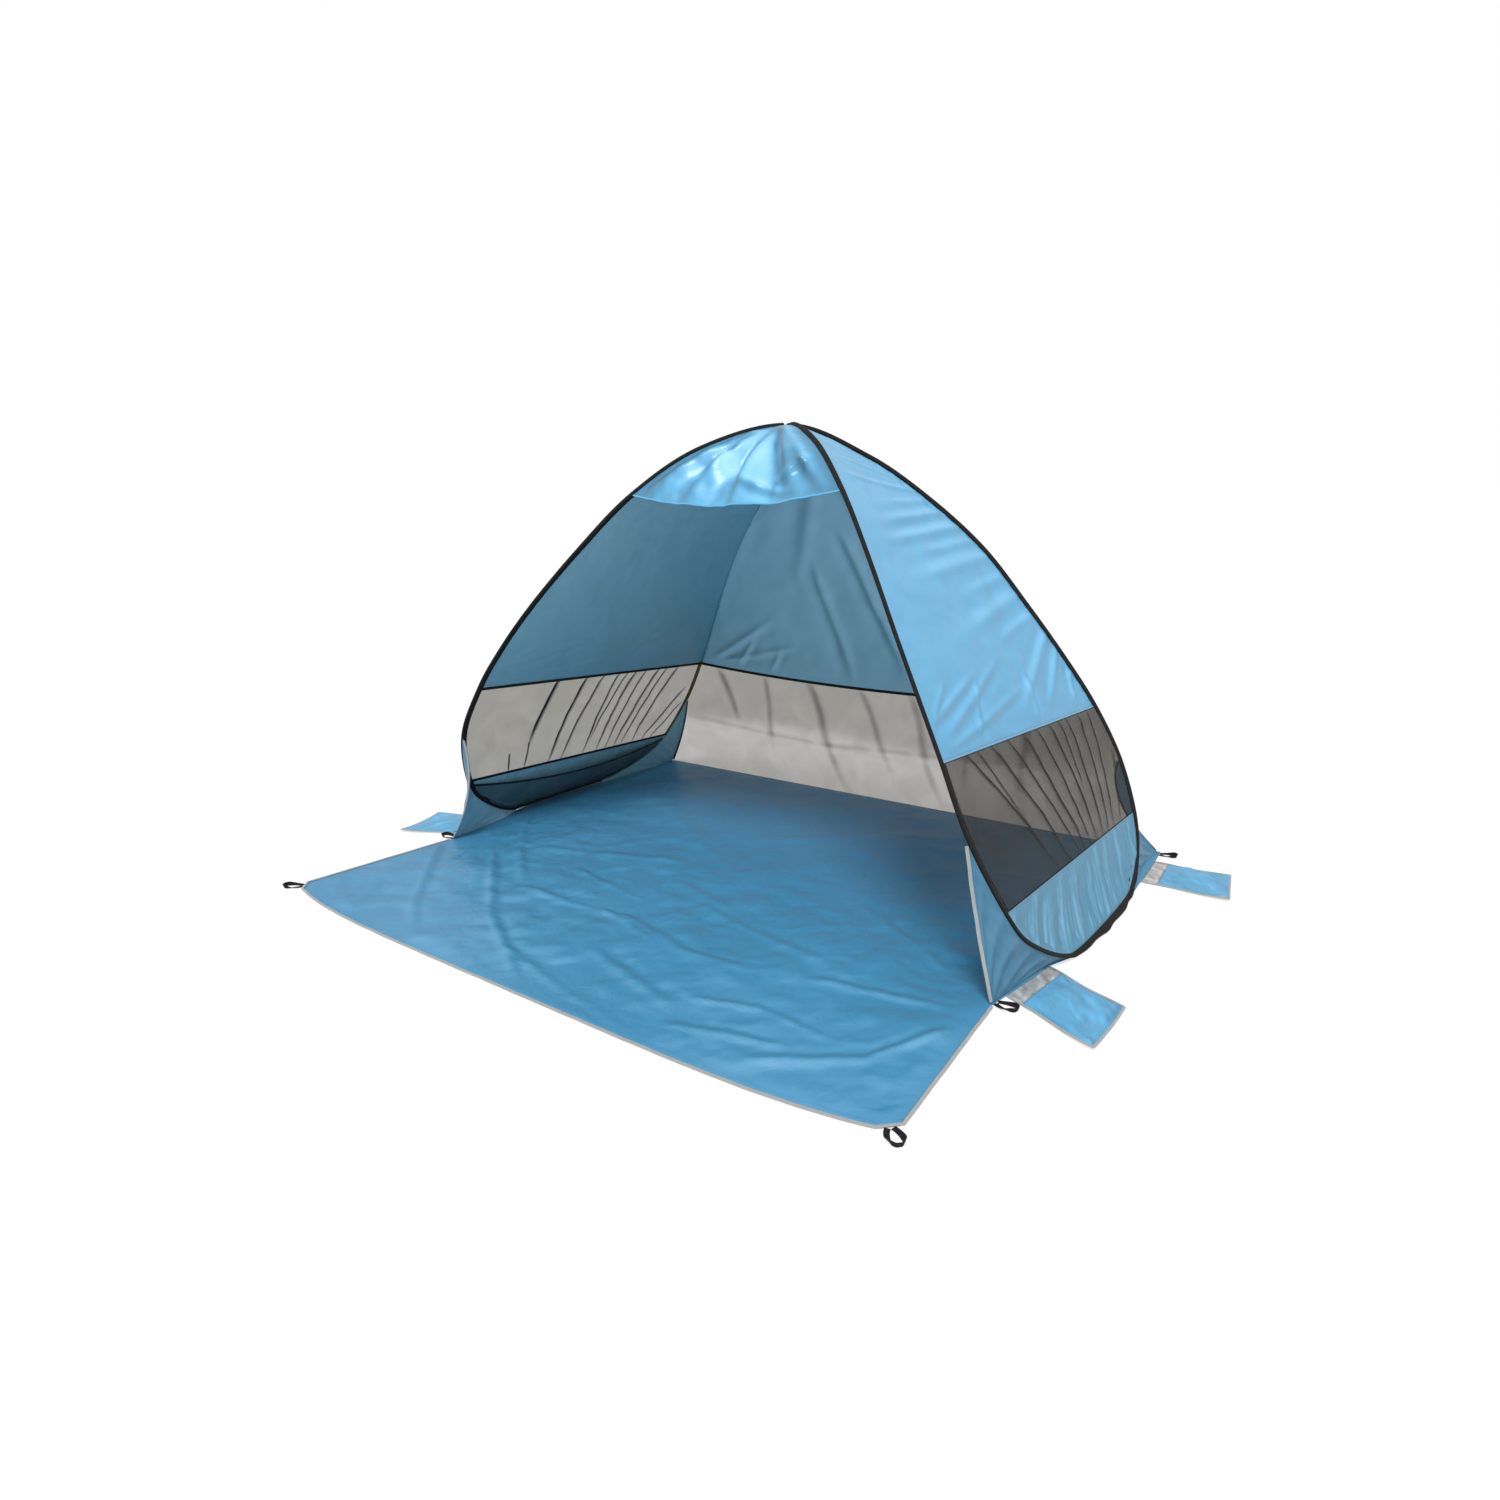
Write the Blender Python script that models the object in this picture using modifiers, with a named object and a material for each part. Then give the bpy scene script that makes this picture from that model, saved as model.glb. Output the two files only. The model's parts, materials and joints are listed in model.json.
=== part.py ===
"""Pop-up beach tent: two sprung petal hoops, fabric walls, floor, apron and sand pockets."""
import math

import bmesh
import bpy
from mathutils import Vector

# Driving dimensions, in metres. Front is -Y, the floor's centre is the origin, +Z is up.
FLOOR_DEPTH = 1.20
FLOOR_HALF_WIDTH = 1.015
APEX_HEIGHT = 1.25
HOOP_SIDE_INSET = 0.007
HOOP_FRONT_SETBACK = 0.025
HOOP_REAR_SETBACK = 0.060
HOOP_BASE_OFFSET = 0.05
APRON_DEPTH = 0.49
APRON_TIP_INSET = 0.072
APRON_BOW = 0.046
APRON_CORNER_CUT = 0.034

# Cloth, wire and sleeve sizes
CLOTH = 0.0015
FLOOR_SHEET = 0.0016
TAPE_WIDTH = 0.010
TAPE_THICKNESS = 0.0010
GAP = 0.0003
SEAM_GAP = 0.0004
WIRE_RADIUS = 0.0020
SLEEVE_RADIUS = 0.0052
SLEEVE_WELT = 0.0155
WELT_HALF_THICKNESS = 0.0008
WIRE_CLEARANCE = 0.00035
FERRULE_LENGTH = 0.050
FERRULE_WALL = 0.0006
WIRE_END_GAP = 0.0010
CROSSING_LIFT = 0.0024
PIPING_RADIUS = 0.0026
CORNER_PIPING_RADIUS = 0.0016
BINDING_WIDTH = 0.0070
BINDING_HEIGHT = 0.0026

# Tie round the two wires where they cross
TIE_WIDTH = 0.008
TIE_HALF_SPAN = 0.0095
TIE_WALL = 0.0012

# Walls
HOOD_CROWN = 0.040
HOOD_ANGLE = math.radians(53.0)
HOOD_FOLD_DEPTH = 0.006
BACK_SEAM_SAG = 0.030
WINDOW_FOLD_DEPTH = 0.0045
BACK_FOLD_DEPTH = 0.0040
GUSSET_INSET = 0.004
SILL_INSET = 0.012
BACK_CORNER_GAP = 0.0065

# Net pocket inside the left wall
NET_POCKET_BELLY = 0.030
NET_POCKET_SAG = 0.030

# Sand pockets
POCKET_WIDTH = 0.185
POCKET_LENGTH = 0.218
POCKET_STRIP = 0.042
POCKET_BELLY = 0.013
FRONT_POCKET_SETBACK = 0.157
REAR_POCKET_SETBACK = 0.195
FRONT_POCKET_SKEW_ANGLE = math.radians(-18.0)
REAR_POCKET_SKEW_ANGLE = math.radians(-4.0)

# Peg loops
LOOP_LENGTH = 0.052
LOOP_ROOT_WIDTH = 0.022
LOOP_WIDTH = 0.036
LOOP_WEBBING = 0.010
LOOP_THICKNESS = 0.0018
CORNER_LOOP_SETBACK = 0.023

# Counts of folds, and of the steps in each piece's mesh
WINDOW_FOLDS = 5
BACK_FOLDS = 6
HOOD_FOLDS = 5
STEPS_PER_FOLD = 4
STATIONS_PER_ROW = 3
SLEEVE_SIDES = 6
FERRULE_SIDES = 12
BACK_COLUMNS = 8
GUSSET_COLUMNS = 4
NET_COLUMNS = 10
NET_ROWS = 5
POCKET_STEPS = 6
APRON_STEPS = 12
LOOP_STEPS = 6

# One row for each level of a petal, apex first. Each row gives the front rod's place and the
# rear rod's place as shares: across of HOOP_HALF_WIDTH, reach of the front or rear reach, up.
PETAL_SHARES = [
    ((0.000, 0.000, 1.000), (0.000, 0.000, 1.000)),
    ((0.186, 0.287, 0.951), (0.147, 0.326, 0.940)),
    ((0.341, 0.504, 0.851), (0.293, 0.518, 0.849)),
    ((0.471, 0.671, 0.728), (0.446, 0.662, 0.732)),
    ((0.589, 0.819, 0.601), (0.571, 0.781, 0.599)),
    ((0.680, 0.913, 0.494), (0.677, 0.896, 0.474)),
    ((0.752, 0.970, 0.399), (0.768, 0.978, 0.359)),
    ((0.828, 0.997, 0.277), (0.855, 1.000, 0.233)),
    ((0.902, 0.893, 0.137), (0.927, 0.898, 0.113)),
    ((0.936, 0.748, 0.061), (0.968, 0.685, 0.044)),
    ((0.984, 0.470, 0.000), (0.998, 0.315, 0.000)),
]
WINDOW_TOP_ROW = 6
LEAVE_ROW = 7
WINDOW_BOTTOM_ROW = 8
BOTTOM_ROW = len(PETAL_SHARES) - 1
HOOD_ROW = 2
MOUTH_ROW_SHARE = 0.08
SECOND_STATION_SHARE = 0.20
HOOD_START_SHARE = 0.12
WELT_TAPER_SHARE = 0.30
TANGENT_STEP_SHARE = 0.01
GUSSET_DIP_SHARE = 0.34
PIPING_TOP_SHARE = 0.060
PIPING_FOOT_SHARE = 0.985
NET_DROP_SHARE = 0.15
NET_SIDE_SHARE = 0.04

# Powers that shape a curve: 1 is straight, and a higher one bends it nearer its far end
HOOD_ARCH_POWER = 1.5
SEAM_SAG_POWER = 4
BASE_BLEND_POWER = 2
APRON_BOW_POWER = 5

# The floor's side edge, front to back: along as a share of half the depth, out of half the width
FLOOR_SIDE_SHARES = [
    (-1.000, 0.906), (-0.575, 0.948), (-0.450, 0.978), (-0.300, 0.995), (-0.083, 1.000),
    (0.167, 0.999), (0.367, 0.997), (0.483, 0.995), (0.867, 0.990), (1.000, 0.985),
]

HALF_DEPTH = FLOOR_DEPTH / 2
FLOOR_TOP = FLOOR_SHEET
HOOP_HALF_WIDTH = FLOOR_HALF_WIDTH - HOOP_SIDE_INSET
HOOP_FRONT_REACH = HALF_DEPTH - HOOP_FRONT_SETBACK
HOOP_REAR_REACH = HALF_DEPTH - HOOP_REAR_SETBACK
APRON_HALF_WIDTH = FLOOR_HALF_WIDTH - APRON_TIP_INSET
SEAT_HEIGHT = FLOOR_SHEET + GAP + SLEEVE_RADIUS
SIDED = math.cos(math.pi / SLEEVE_SIDES)
BORE_RADIUS = (WIRE_RADIUS + WIRE_CLEARANCE) / SIDED
FERRULE_BORE = (WIRE_RADIUS + GAP) / math.cos(math.pi / FERRULE_SIDES)
FERRULE_RADIUS = FERRULE_BORE + FERRULE_WALL
WIDE_BORE = (FERRULE_RADIUS + GAP) / SIDED

COLOURS = {
    "sky_cloth": ((0.30, 0.57, 0.80), 0.55, 0.0),
    "floor_cloth": ((0.25, 0.48, 0.66), 0.60, 0.0),
    "net": ((0.20, 0.20, 0.19), 0.80, 0.0),
    "webbing": ((0.04, 0.04, 0.04), 0.75, 0.0),
    "piping": ((0.62, 0.61, 0.58), 0.55, 0.0),
    "silver_cloth": ((0.60, 0.57, 0.52), 0.40, 0.0),
    "spring_steel": ((0.55, 0.56, 0.58), 0.30, 1.0),
}

for old in list(bpy.data.objects):
    bpy.data.objects.remove(old, do_unlink=True)
tent = bpy.data.collections.new("beach_tent")
bpy.context.scene.collection.children.link(tent)


def finish(obj, colour):
    """Give an object its own Principled material and put it in the tent's collection."""
    base, roughness, metallic = COLOURS[colour]
    material = bpy.data.materials.new(obj.name + "_" + colour)
    material.use_nodes = True
    shader = material.node_tree.nodes["Principled BSDF"]
    shader.inputs["Base Color"].default_value = (*base, 1.0)
    shader.inputs["Roughness"].default_value = roughness
    shader.inputs["Metallic"].default_value = metallic
    obj.data.materials.append(material)
    tent.objects.link(obj)
    return obj


def spline(points, index, share):
    """Catmull-Rom point between points[index] and points[index + 1]."""
    p0, p1, p2, p3 = (points[index + step] for step in (-1, 0, 1, 2))
    cubic = 3 * (p1 - p2) + p3 - p0
    square = 2 * p0 - 5 * p1 + 4 * p2 - p3
    return p1 + 0.5 * share * ((p2 - p0) + share * (square + share * cubic))


def rod_point(shares, reach):
    """Point of the right petal from its shares; reach is negative for the front rod."""
    across, along, up = shares
    height = SEAT_HEIGHT + up * (APEX_HEIGHT - SEAT_HEIGHT)
    return Vector((across * HOOP_HALF_WIDTH, along * reach, height))


def mirrored(point):
    return Vector((-point.x, point.y, point.z))


def petal_points():
    """The right petal's guide points: apex, front rod, base, rear rod, apex."""
    front = [rod_point(row[0], -HOOP_FRONT_REACH) for row in PETAL_SHARES]
    rear = [rod_point(row[1], HOOP_REAR_REACH) for row in PETAL_SHARES]
    base = Vector((HOOP_HALF_WIDTH, -HOOP_BASE_OFFSET, SEAT_HEIGHT))
    loop = front + [base] + rear[::-1]
    return [mirrored(rear[1])] + loop + [mirrored(front[1])]


GUIDE = petal_points()
PATH_END = len(GUIDE) - 3


def hoop(path):
    """Point on the right petal at a path value, in guide points from the apex; it rests on the floor."""
    index = min(int(path), PATH_END - 1)
    point = spline(GUIDE, index + 1, path - index)
    point.z = max(point.z, SEAT_HEIGHT)
    return point


def front_rod(row):
    return hoop(row)


def rear_rod(row):
    return hoop(PATH_END - row)


def stations(first, last):
    """Row values from first to last at which every piece of a petal has its points."""
    whole = [step / STATIONS_PER_ROW for step in range(1, BOTTOM_ROW * STATIONS_PER_ROW + 1)]
    every = [MOUTH_ROW_SHARE, SECOND_STATION_SHARE] + whole
    inner = [row for row in every if first < row < last]
    return [first] + inner + [last]


BASE_STEPS = 2 * STATIONS_PER_ROW
PETAL_HEART = (front_rod(WINDOW_BOTTOM_ROW) + rear_rod(WINDOW_BOTTOM_ROW)) / 2


def base_path(step):
    """Path value of a step of the stretch that lies on the ground, front to rear."""
    return BOTTOM_ROW + step / STATIONS_PER_ROW


def tangent(path):
    low = max(path - TANGENT_STEP_SHARE, 0)
    high = min(path + TANGENT_STEP_SHARE, PATH_END)
    return (hoop(high) - hoop(low)).normalized()


def square_to(direction, axis):
    """The part of a direction that is square to an axis, at unit length."""
    return (direction - direction.dot(axis) * axis).normalized()


def petal_frame(path):
    """Centre, inward direction, side direction and welt width of the sleeve at a path value."""
    row = min(path, PATH_END - path)
    centre = hoop(path)
    if row <= WINDOW_BOTTOM_ROW:
        target = (front_rod(row) + rear_rod(row)) / 2
        welt = min(SLEEVE_WELT, WELT_TAPER_SHARE * (front_rod(row) - rear_rod(row)).length)
    else:
        target = PETAL_HEART
        welt = SLEEVE_WELT
    along = tangent(path)
    inward = square_to(target - centre, along)
    return centre, inward, along.cross(inward), welt


def rod_path(rod, row):
    return row if rod == "front" else PATH_END - row


def panel_border(path):
    """Where a wall's edge starts, just past the sleeve's welt."""
    centre, inward, _, welt = petal_frame(path)
    return centre + inward * (SLEEVE_RADIUS + welt + GAP)


def border_at(rod, row):
    """Wall edge on straight runs between stations, as the sleeve has it."""
    ordered = stations(MOUTH_ROW_SHARE, BOTTOM_ROW)
    for low, high in zip(ordered[:-1], ordered[1:]):
        if row <= high:
            share = (row - low) / (high - low)
            start = panel_border(rod_path(rod, low))
            end = panel_border(rod_path(rod, high))
            return start.lerp(end, share)
    return panel_border(rod_path(rod, row))


def sleeve_edge(rod, row, toward):
    """Edge of a piece that leaves a rod's sleeve in a direction other than the welt's."""
    path = rod_path(rod, row)
    centre = hoop(path)
    away = square_to(toward - centre, tangent(path))
    return centre + away * (SLEEVE_RADIUS + GAP)


def side_out(along):
    """Half width of the floor at a place along its depth."""
    table = [(share * HALF_DEPTH, out * FLOOR_HALF_WIDTH) for share, out in FLOOR_SIDE_SHARES]
    for (y0, x0), (y1, x1) in zip(table[:-1], table[1:]):
        if along <= y1:
            return x0 + (x1 - x0) * (along - y0) / (y1 - y0)
    return table[-1][1]


def grid_sheet(name, columns, rows, place, colour, side=1, thickness=CLOTH):
    """A sheet of cloth: a grid whose points are put in place, thickened both ways."""
    shape = bmesh.new()
    bmesh.ops.create_grid(shape, x_segments=columns, y_segments=rows, size=1.0)
    for vert in shape.verts:
        column = round((vert.co.x + 1) / 2 * columns)
        row = round((vert.co.y + 1) / 2 * rows)
        point = place(column, row)
        vert.co = point if side > 0 else mirrored(point)
    mesh = bpy.data.meshes.new(name)
    shape.to_mesh(mesh)
    shape.free()
    mesh.shade_smooth()
    obj = bpy.data.objects.new(name, mesh)
    skin = obj.modifiers.new("thickness", "SOLIDIFY")
    skin.thickness = thickness
    skin.offset = 0
    skin.use_even_offset = False
    return finish(obj, colour)


def plate(name, outlines, thickness, colour, bottom=0.0):
    """A flat piece from closed outlines, the second one a hole."""
    curve = bpy.data.curves.new(name, "CURVE")
    curve.dimensions = "2D"
    curve.fill_mode = "BOTH"
    curve.extrude = thickness / 2
    for outline in outlines:
        line = curve.splines.new("POLY")
        line.points.add(len(outline) - 1)
        for point, place in zip(line.points, outline):
            point.co = (place[0], place[1], 0.0, 1.0)
        line.use_cyclic_u = True
    obj = bpy.data.objects.new(name, curve)
    obj.location.z = bottom + thickness / 2
    return finish(obj, colour)


def rod(name, points, radius, colour, resolution=1):
    """A round wire or piping along points."""
    curve = bpy.data.curves.new(name, "CURVE")
    curve.dimensions = "3D"
    curve.bevel_depth = radius
    curve.bevel_resolution = resolution
    curve.use_fill_caps = True
    line = curve.splines.new("POLY")
    line.points.add(len(points) - 1)
    for point, place in zip(line.points, points):
        point.co = (*place, 1.0)
    return finish(bpy.data.objects.new(name, curve), colour)


def loft(name, rings, colour):
    """A hollow sleeve from rings of an outer and an inner loop, open at both mouths."""
    shape = bmesh.new()
    made = [[[shape.verts.new(p) for p in loop] for loop in ring] for ring in rings]
    for ring, following in zip(made[:-1], made[1:]):
        for loop, onward in zip(ring, following):
            for step in range(len(loop)):
                after = (step + 1) % len(loop)
                shape.faces.new((loop[step], loop[after], onward[after], onward[step]))
    for outer, inner in (made[0], made[-1]):
        last = len(inner) - 1
        for step in range(last):
            shape.faces.new((outer[step], outer[step + 1], inner[step + 1], inner[step]))
        shape.faces.new(outer[last:] + [outer[0], inner[0], inner[last]])
    bmesh.ops.recalc_face_normals(shape, faces=shape.faces)
    mesh = bpy.data.meshes.new(name)
    shape.to_mesh(mesh)
    shape.free()
    return finish(bpy.data.objects.new(name, mesh), colour)


SLEEVE_PATHS = stations(MOUTH_ROW_SHARE, BOTTOM_ROW)
SLEEVE_PATHS += [base_path(step) for step in range(1, BASE_STEPS)]
SLEEVE_PATHS += [PATH_END - row for row in reversed(stations(MOUTH_ROW_SHARE, BOTTOM_ROW))]
BASE_MIDDLE = BOTTOM_ROW + 1
FERRULE_PATHS = (BASE_MIDDLE, base_path(STATIONS_PER_ROW + 1))
SIDES = {"left": -1, "right": 1}


def turned_to(side, point):
    return point if side > 0 else mirrored(point)


def hoop_sleeve(label, side):
    """The folded webbing sleeve sewn round a petal, with a welt that carries the walls."""
    rings = []
    for path in SLEEVE_PATHS:
        centre, inward, sideways, welt = petal_frame(path)
        wide = side < 0 and path in FERRULE_PATHS
        bore = WIDE_BORE if wide else BORE_RADIUS
        outer, inner = [], []
        for step in range(SLEEVE_SIDES):
            angle = math.pi * (1 + 2 * step) / SLEEVE_SIDES
            spoke = inward * math.cos(angle) + sideways * math.sin(angle)
            outer.append(turned_to(side, centre + spoke * SLEEVE_RADIUS))
            inner.append(turned_to(side, centre + spoke * bore))
        tip = centre + inward * (SLEEVE_RADIUS + welt)
        for lift in (-WELT_HALF_THICKNESS, WELT_HALF_THICKNESS):
            outer.append(turned_to(side, tip + sideways * lift))
        rings.append((outer, inner))
    return loft(label + "_hoop_sleeve", rings, "webbing")


def wire_joint():
    """The two ends of the wire and the direction of the run between them, left side."""
    start, end = (mirrored(hoop(path)) for path in FERRULE_PATHS)
    along = (end - start).normalized()
    middle = (start + end) / 2
    return middle, along


def crossing(lift):
    """Points of one strand between the sleeve mouths, lifted where the strands cross."""
    side = 1 if lift > 0 else -1
    half = MOUTH_ROW_SHARE / 2
    raise_by = Vector((0, 0, lift))
    before = turned_to(-side, front_rod(half)) if side > 0 else front_rod(half)
    after = rear_rod(half) if side > 0 else mirrored(rear_rod(half))
    top = Vector((0, 0, APEX_HEIGHT))
    return [before + raise_by / 2, top + raise_by, after + raise_by / 2]


def spring_wire():
    """One wire in a figure of eight: each front rod runs on into the other side's rear rod."""
    middle, along = wire_joint()
    rising = [p for p in reversed(SLEEVE_PATHS) if p <= BASE_MIDDLE]
    falling = [p for p in reversed(SLEEVE_PATHS) if p > BASE_MIDDLE]
    points = [middle - along * WIRE_END_GAP / 2]
    points += [mirrored(hoop(path)) for path in rising]
    points += crossing(CROSSING_LIFT)
    points += [hoop(path) for path in reversed(SLEEVE_PATHS)]
    points += crossing(-CROSSING_LIFT)
    points += [mirrored(hoop(path)) for path in falling]
    points.append(middle + along * WIRE_END_GAP / 2)
    return rod("spring_wire", points, WIRE_RADIUS, "spring_steel")


def wire_ferrule():
    """The tube that joins the wire's two ends inside the left sleeve."""
    middle, along = wire_joint()
    shape = bmesh.new()
    bmesh.ops.create_cone(
        shape, cap_ends=False, segments=FERRULE_SIDES, radius1=FERRULE_BORE,
        radius2=FERRULE_BORE, depth=FERRULE_LENGTH)
    mesh = bpy.data.meshes.new("wire_ferrule")
    shape.to_mesh(mesh)
    shape.free()
    obj = bpy.data.objects.new("wire_ferrule", mesh)
    obj.location = middle
    obj.rotation_euler = along.to_track_quat("Z", "Y").to_euler()
    skin = obj.modifiers.new("wall", "SOLIDIFY")
    skin.thickness = FERRULE_WALL
    skin.offset = 1
    return finish(obj, "spring_steel")


def rectangle(half_x, half_y):
    return [(-half_x, -half_y), (half_x, -half_y), (half_x, half_y), (-half_x, half_y)]


def apex_tie():
    """A band of webbing round the two strands where they cross at the top."""
    half_height = CROSSING_LIFT + WIRE_RADIUS + WIRE_CLEARANCE
    outer = rectangle(TIE_HALF_SPAN + TIE_WALL, half_height + TIE_WALL)
    inner = rectangle(TIE_HALF_SPAN, half_height)
    obj = plate("apex_tie", [outer, inner], TIE_WIDTH, "webbing")
    obj.rotation_euler = (math.pi / 2, 0, math.pi / 2)
    obj.location = (0, 0, APEX_HEIGHT)
    return obj


SEAM_SHARE = SEAM_GAP / 2 / (front_rod(WINDOW_TOP_ROW + 1) - front_rod(WINDOW_TOP_ROW)).length
TAPE_SHARE = SEAM_SHARE * TAPE_WIDTH / SEAM_GAP


def wall_point(row, share):
    """A point of the right side wall: row from the apex down, share from front to rear."""
    point = border_at("front", row).lerp(border_at("rear", row), share)
    if row > WINDOW_BOTTOM_ROW:
        path = BOTTOM_ROW + share * 2
        low = base_path(math.floor(share * BASE_STEPS))
        high = min(low + 1 / STATIONS_PER_ROW, BOTTOM_ROW + 2)
        part = (path - low) / (high - low) if high > low else 0
        base = panel_border(low).lerp(panel_border(high), part)
        flat = panel_border(BOTTOM_ROW).lerp(panel_border(BOTTOM_ROW + 2), share)
        blend = (row - WINDOW_BOTTOM_ROW) / (BOTTOM_ROW - WINDOW_BOTTOM_ROW)
        point += (base - flat) * blend ** BASE_BLEND_POWER
    return point


def wall_normal():
    """Outward direction of the right side wall at its window."""
    top, low = WINDOW_TOP_ROW, WINDOW_BOTTOM_ROW
    one = wall_point(low, 1) - wall_point(top, 0)
    two = wall_point(low, 0) - wall_point(top, 1)
    normal = one.cross(two).normalized()
    return normal if normal.x > 0 else -normal


WALL_OUT = wall_normal()


def side_wall(label, side, part, first, last, columns, colour, folds=0):
    rows = stations(first, last)

    def place(column, index):
        share = column / columns
        down = (rows[index] - first) / (last - first)
        wave = math.sin(2 * math.pi * folds * share) * math.sin(math.pi * down) ** 2
        return wall_point(rows[index], share) + WALL_OUT * (WINDOW_FOLD_DEPTH * wave)

    return grid_sheet(f"{label}_{part}", columns, len(rows) - 1, place, colour, side)


def seam_tape(label, side, part, row):
    """Binding tape over a seam, on the inside of the wall."""
    inward = WALL_OUT * -(CLOTH / 2 + GAP + TAPE_THICKNESS / 2)
    rows = (row - TAPE_SHARE / 2, row + TAPE_SHARE / 2)

    def place(column, index):
        return wall_point(rows[index], column / BASE_STEPS) + inward

    return grid_sheet(
        f"{label}_{part}", BASE_STEPS, 1, place, "webbing", side, TAPE_THICKNESS)


def side_pieces(label, side):
    seam = SEAM_SHARE
    top, low = WINDOW_TOP_ROW, WINDOW_BOTTOM_ROW
    side_wall(label, side, "upper_wall", MOUTH_ROW_SHARE, top - seam, BASE_STEPS, "sky_cloth")
    columns = STEPS_PER_FOLD * WINDOW_FOLDS
    side_wall(label, side, "window", top + seam, low - seam, columns, "net", WINDOW_FOLDS)
    side_wall(label, side, "lower_wall", low + seam, BOTTOM_ROW, BASE_STEPS, "sky_cloth")
    seam_tape(label, side, "window_top_tape", top)
    seam_tape(label, side, "window_bottom_tape", low)


def back_edge(row):
    """Right edge of the back wall along the rear rod."""
    return sleeve_edge("rear", row, mirrored(rear_rod(row)))


GUSSET_FOOT = FLOOR_TOP + GAP + CLOTH * GUSSET_DIP_SHARE


def floor_edge(along):
    """A point on the floor's top near its right edge, where a gusset stands."""
    return Vector((side_out(along) - GUSSET_INSET, along, GUSSET_FOOT))


BACK_LINE = HALF_DEPTH - SILL_INSET
BACK_FOOT = floor_edge(BACK_LINE) - Vector((BACK_CORNER_GAP, 0, 0))


def back_right(level):
    """Right edge of the back wall; levels past LEAVE_ROW run straight to the floor corner."""
    if level <= LEAVE_ROW:
        return back_edge(level)
    return back_edge(LEAVE_ROW).lerp(BACK_FOOT, level - LEAVE_ROW)


def back_point(level, share):
    right = back_right(level)
    point = mirrored(right).lerp(right, share)
    if level <= WINDOW_TOP_ROW:
        hang = (level / WINDOW_TOP_ROW) ** SEAM_SAG_POWER
    else:
        hang = (LEAVE_ROW + 1 - level) / (LEAVE_ROW + 1 - WINDOW_TOP_ROW)
    point.z -= BACK_SEAM_SAG * hang * 4 * share * (1 - share)
    return point


def back_pieces():
    seam = SEAM_SHARE
    upper = stations(HOOD_START_SHARE, WINDOW_TOP_ROW - seam)
    net = stations(WINDOW_TOP_ROW + seam, LEAVE_ROW)
    net += [LEAVE_ROW + step / STATIONS_PER_ROW for step in range(1, STATIONS_PER_ROW + 1)]
    columns = STEPS_PER_FOLD * BACK_FOLDS

    def upper_place(column, index):
        return back_point(upper[index], column / BACK_COLUMNS)

    def net_place(column, index):
        share = column / columns
        down = (net[index] - net[0]) / (net[-1] - net[0])
        wave = math.sin(2 * math.pi * BACK_FOLDS * share) * math.sin(math.pi * down) ** 2
        return back_point(net[index], share) + Vector((0, BACK_FOLD_DEPTH * wave, 0))

    def tape_place(column, index):
        level = WINDOW_TOP_ROW + TAPE_SHARE * (index - 0.5)
        inward = Vector((0, -(CLOTH / 2 + GAP + TAPE_THICKNESS / 2), 0))
        return back_point(level, column / BACK_COLUMNS) + inward

    grid_sheet("back_upper_wall", BACK_COLUMNS, len(upper) - 1, upper_place, "sky_cloth")
    grid_sheet("back_window", columns, len(net) - 1, net_place, "net")
    grid_sheet("back_window_tape", BACK_COLUMNS, 1, tape_place, "webbing", 1, TAPE_THICKNESS)


def front_hood():
    """The sun visor between the two front rods, with folds that fan from the apex."""
    rows = stations(HOOD_START_SHARE, HOOD_ROW)
    columns = STEPS_PER_FOLD * HOOD_FOLDS
    forward = Vector((0, -math.cos(HOOD_ANGLE), -math.sin(HOOD_ANGLE)))
    outward = Vector((0, -math.sin(HOOD_ANGLE), math.cos(HOOD_ANGLE)))

    def place(column, index):
        share = column / columns
        down = rows[index] / HOOD_ROW
        right = sleeve_edge("front", rows[index], mirrored(front_rod(rows[index])))
        arch = HOOD_CROWN * 4 * share * (1 - share) * down ** HOOD_ARCH_POWER
        wave = HOOD_FOLD_DEPTH * math.sin(2 * math.pi * HOOD_FOLDS * share) * down
        return mirrored(right).lerp(right, share) + forward * arch + outward * wave

    return grid_sheet("front_hood", columns, len(rows) - 1, place, "sky_cloth")


def gusset_rulings(rod_name, corner_along):
    """Lines from a rod down to the floor's edge, from its free edge to the rod's base."""
    lines = []
    last = BOTTOM_ROW - 1 / STATIONS_PER_ROW
    for row in stations(LEAVE_ROW, last):
        path = rod_path(rod_name, row)
        share = (row - LEAVE_ROW) / (BOTTOM_ROW - LEAVE_ROW)
        foot = floor_edge(corner_along + (hoop(path).y - corner_along) * share)
        lines.append((sleeve_edge(rod_name, row, foot), foot))
    return lines


FRONT_RULINGS = gusset_rulings("front", SILL_INSET - HALF_DEPTH)
REAR_RULINGS = gusset_rulings("rear", BACK_LINE)


def gusset(label, side, part, rulings):
    """A triangle of cloth between a rod and the floor."""
    def place(column, index):
        top, foot = rulings[index]
        return top.lerp(foot, column / GUSSET_COLUMNS)

    name = f"{label}_{part}_gusset"
    return grid_sheet(name, GUSSET_COLUMNS, len(rulings) - 1, place, "sky_cloth", side)


def edge_piping(name, side, start, end, shift, radius, colour):
    """Piping beside a straight free edge, clear of the sleeve above and the floor below."""
    points = [turned_to(side, start.lerp(end, share) + shift)
              for share in (PIPING_TOP_SHARE, PIPING_FOOT_SHARE)]
    return rod(name, points, radius, colour)


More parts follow.
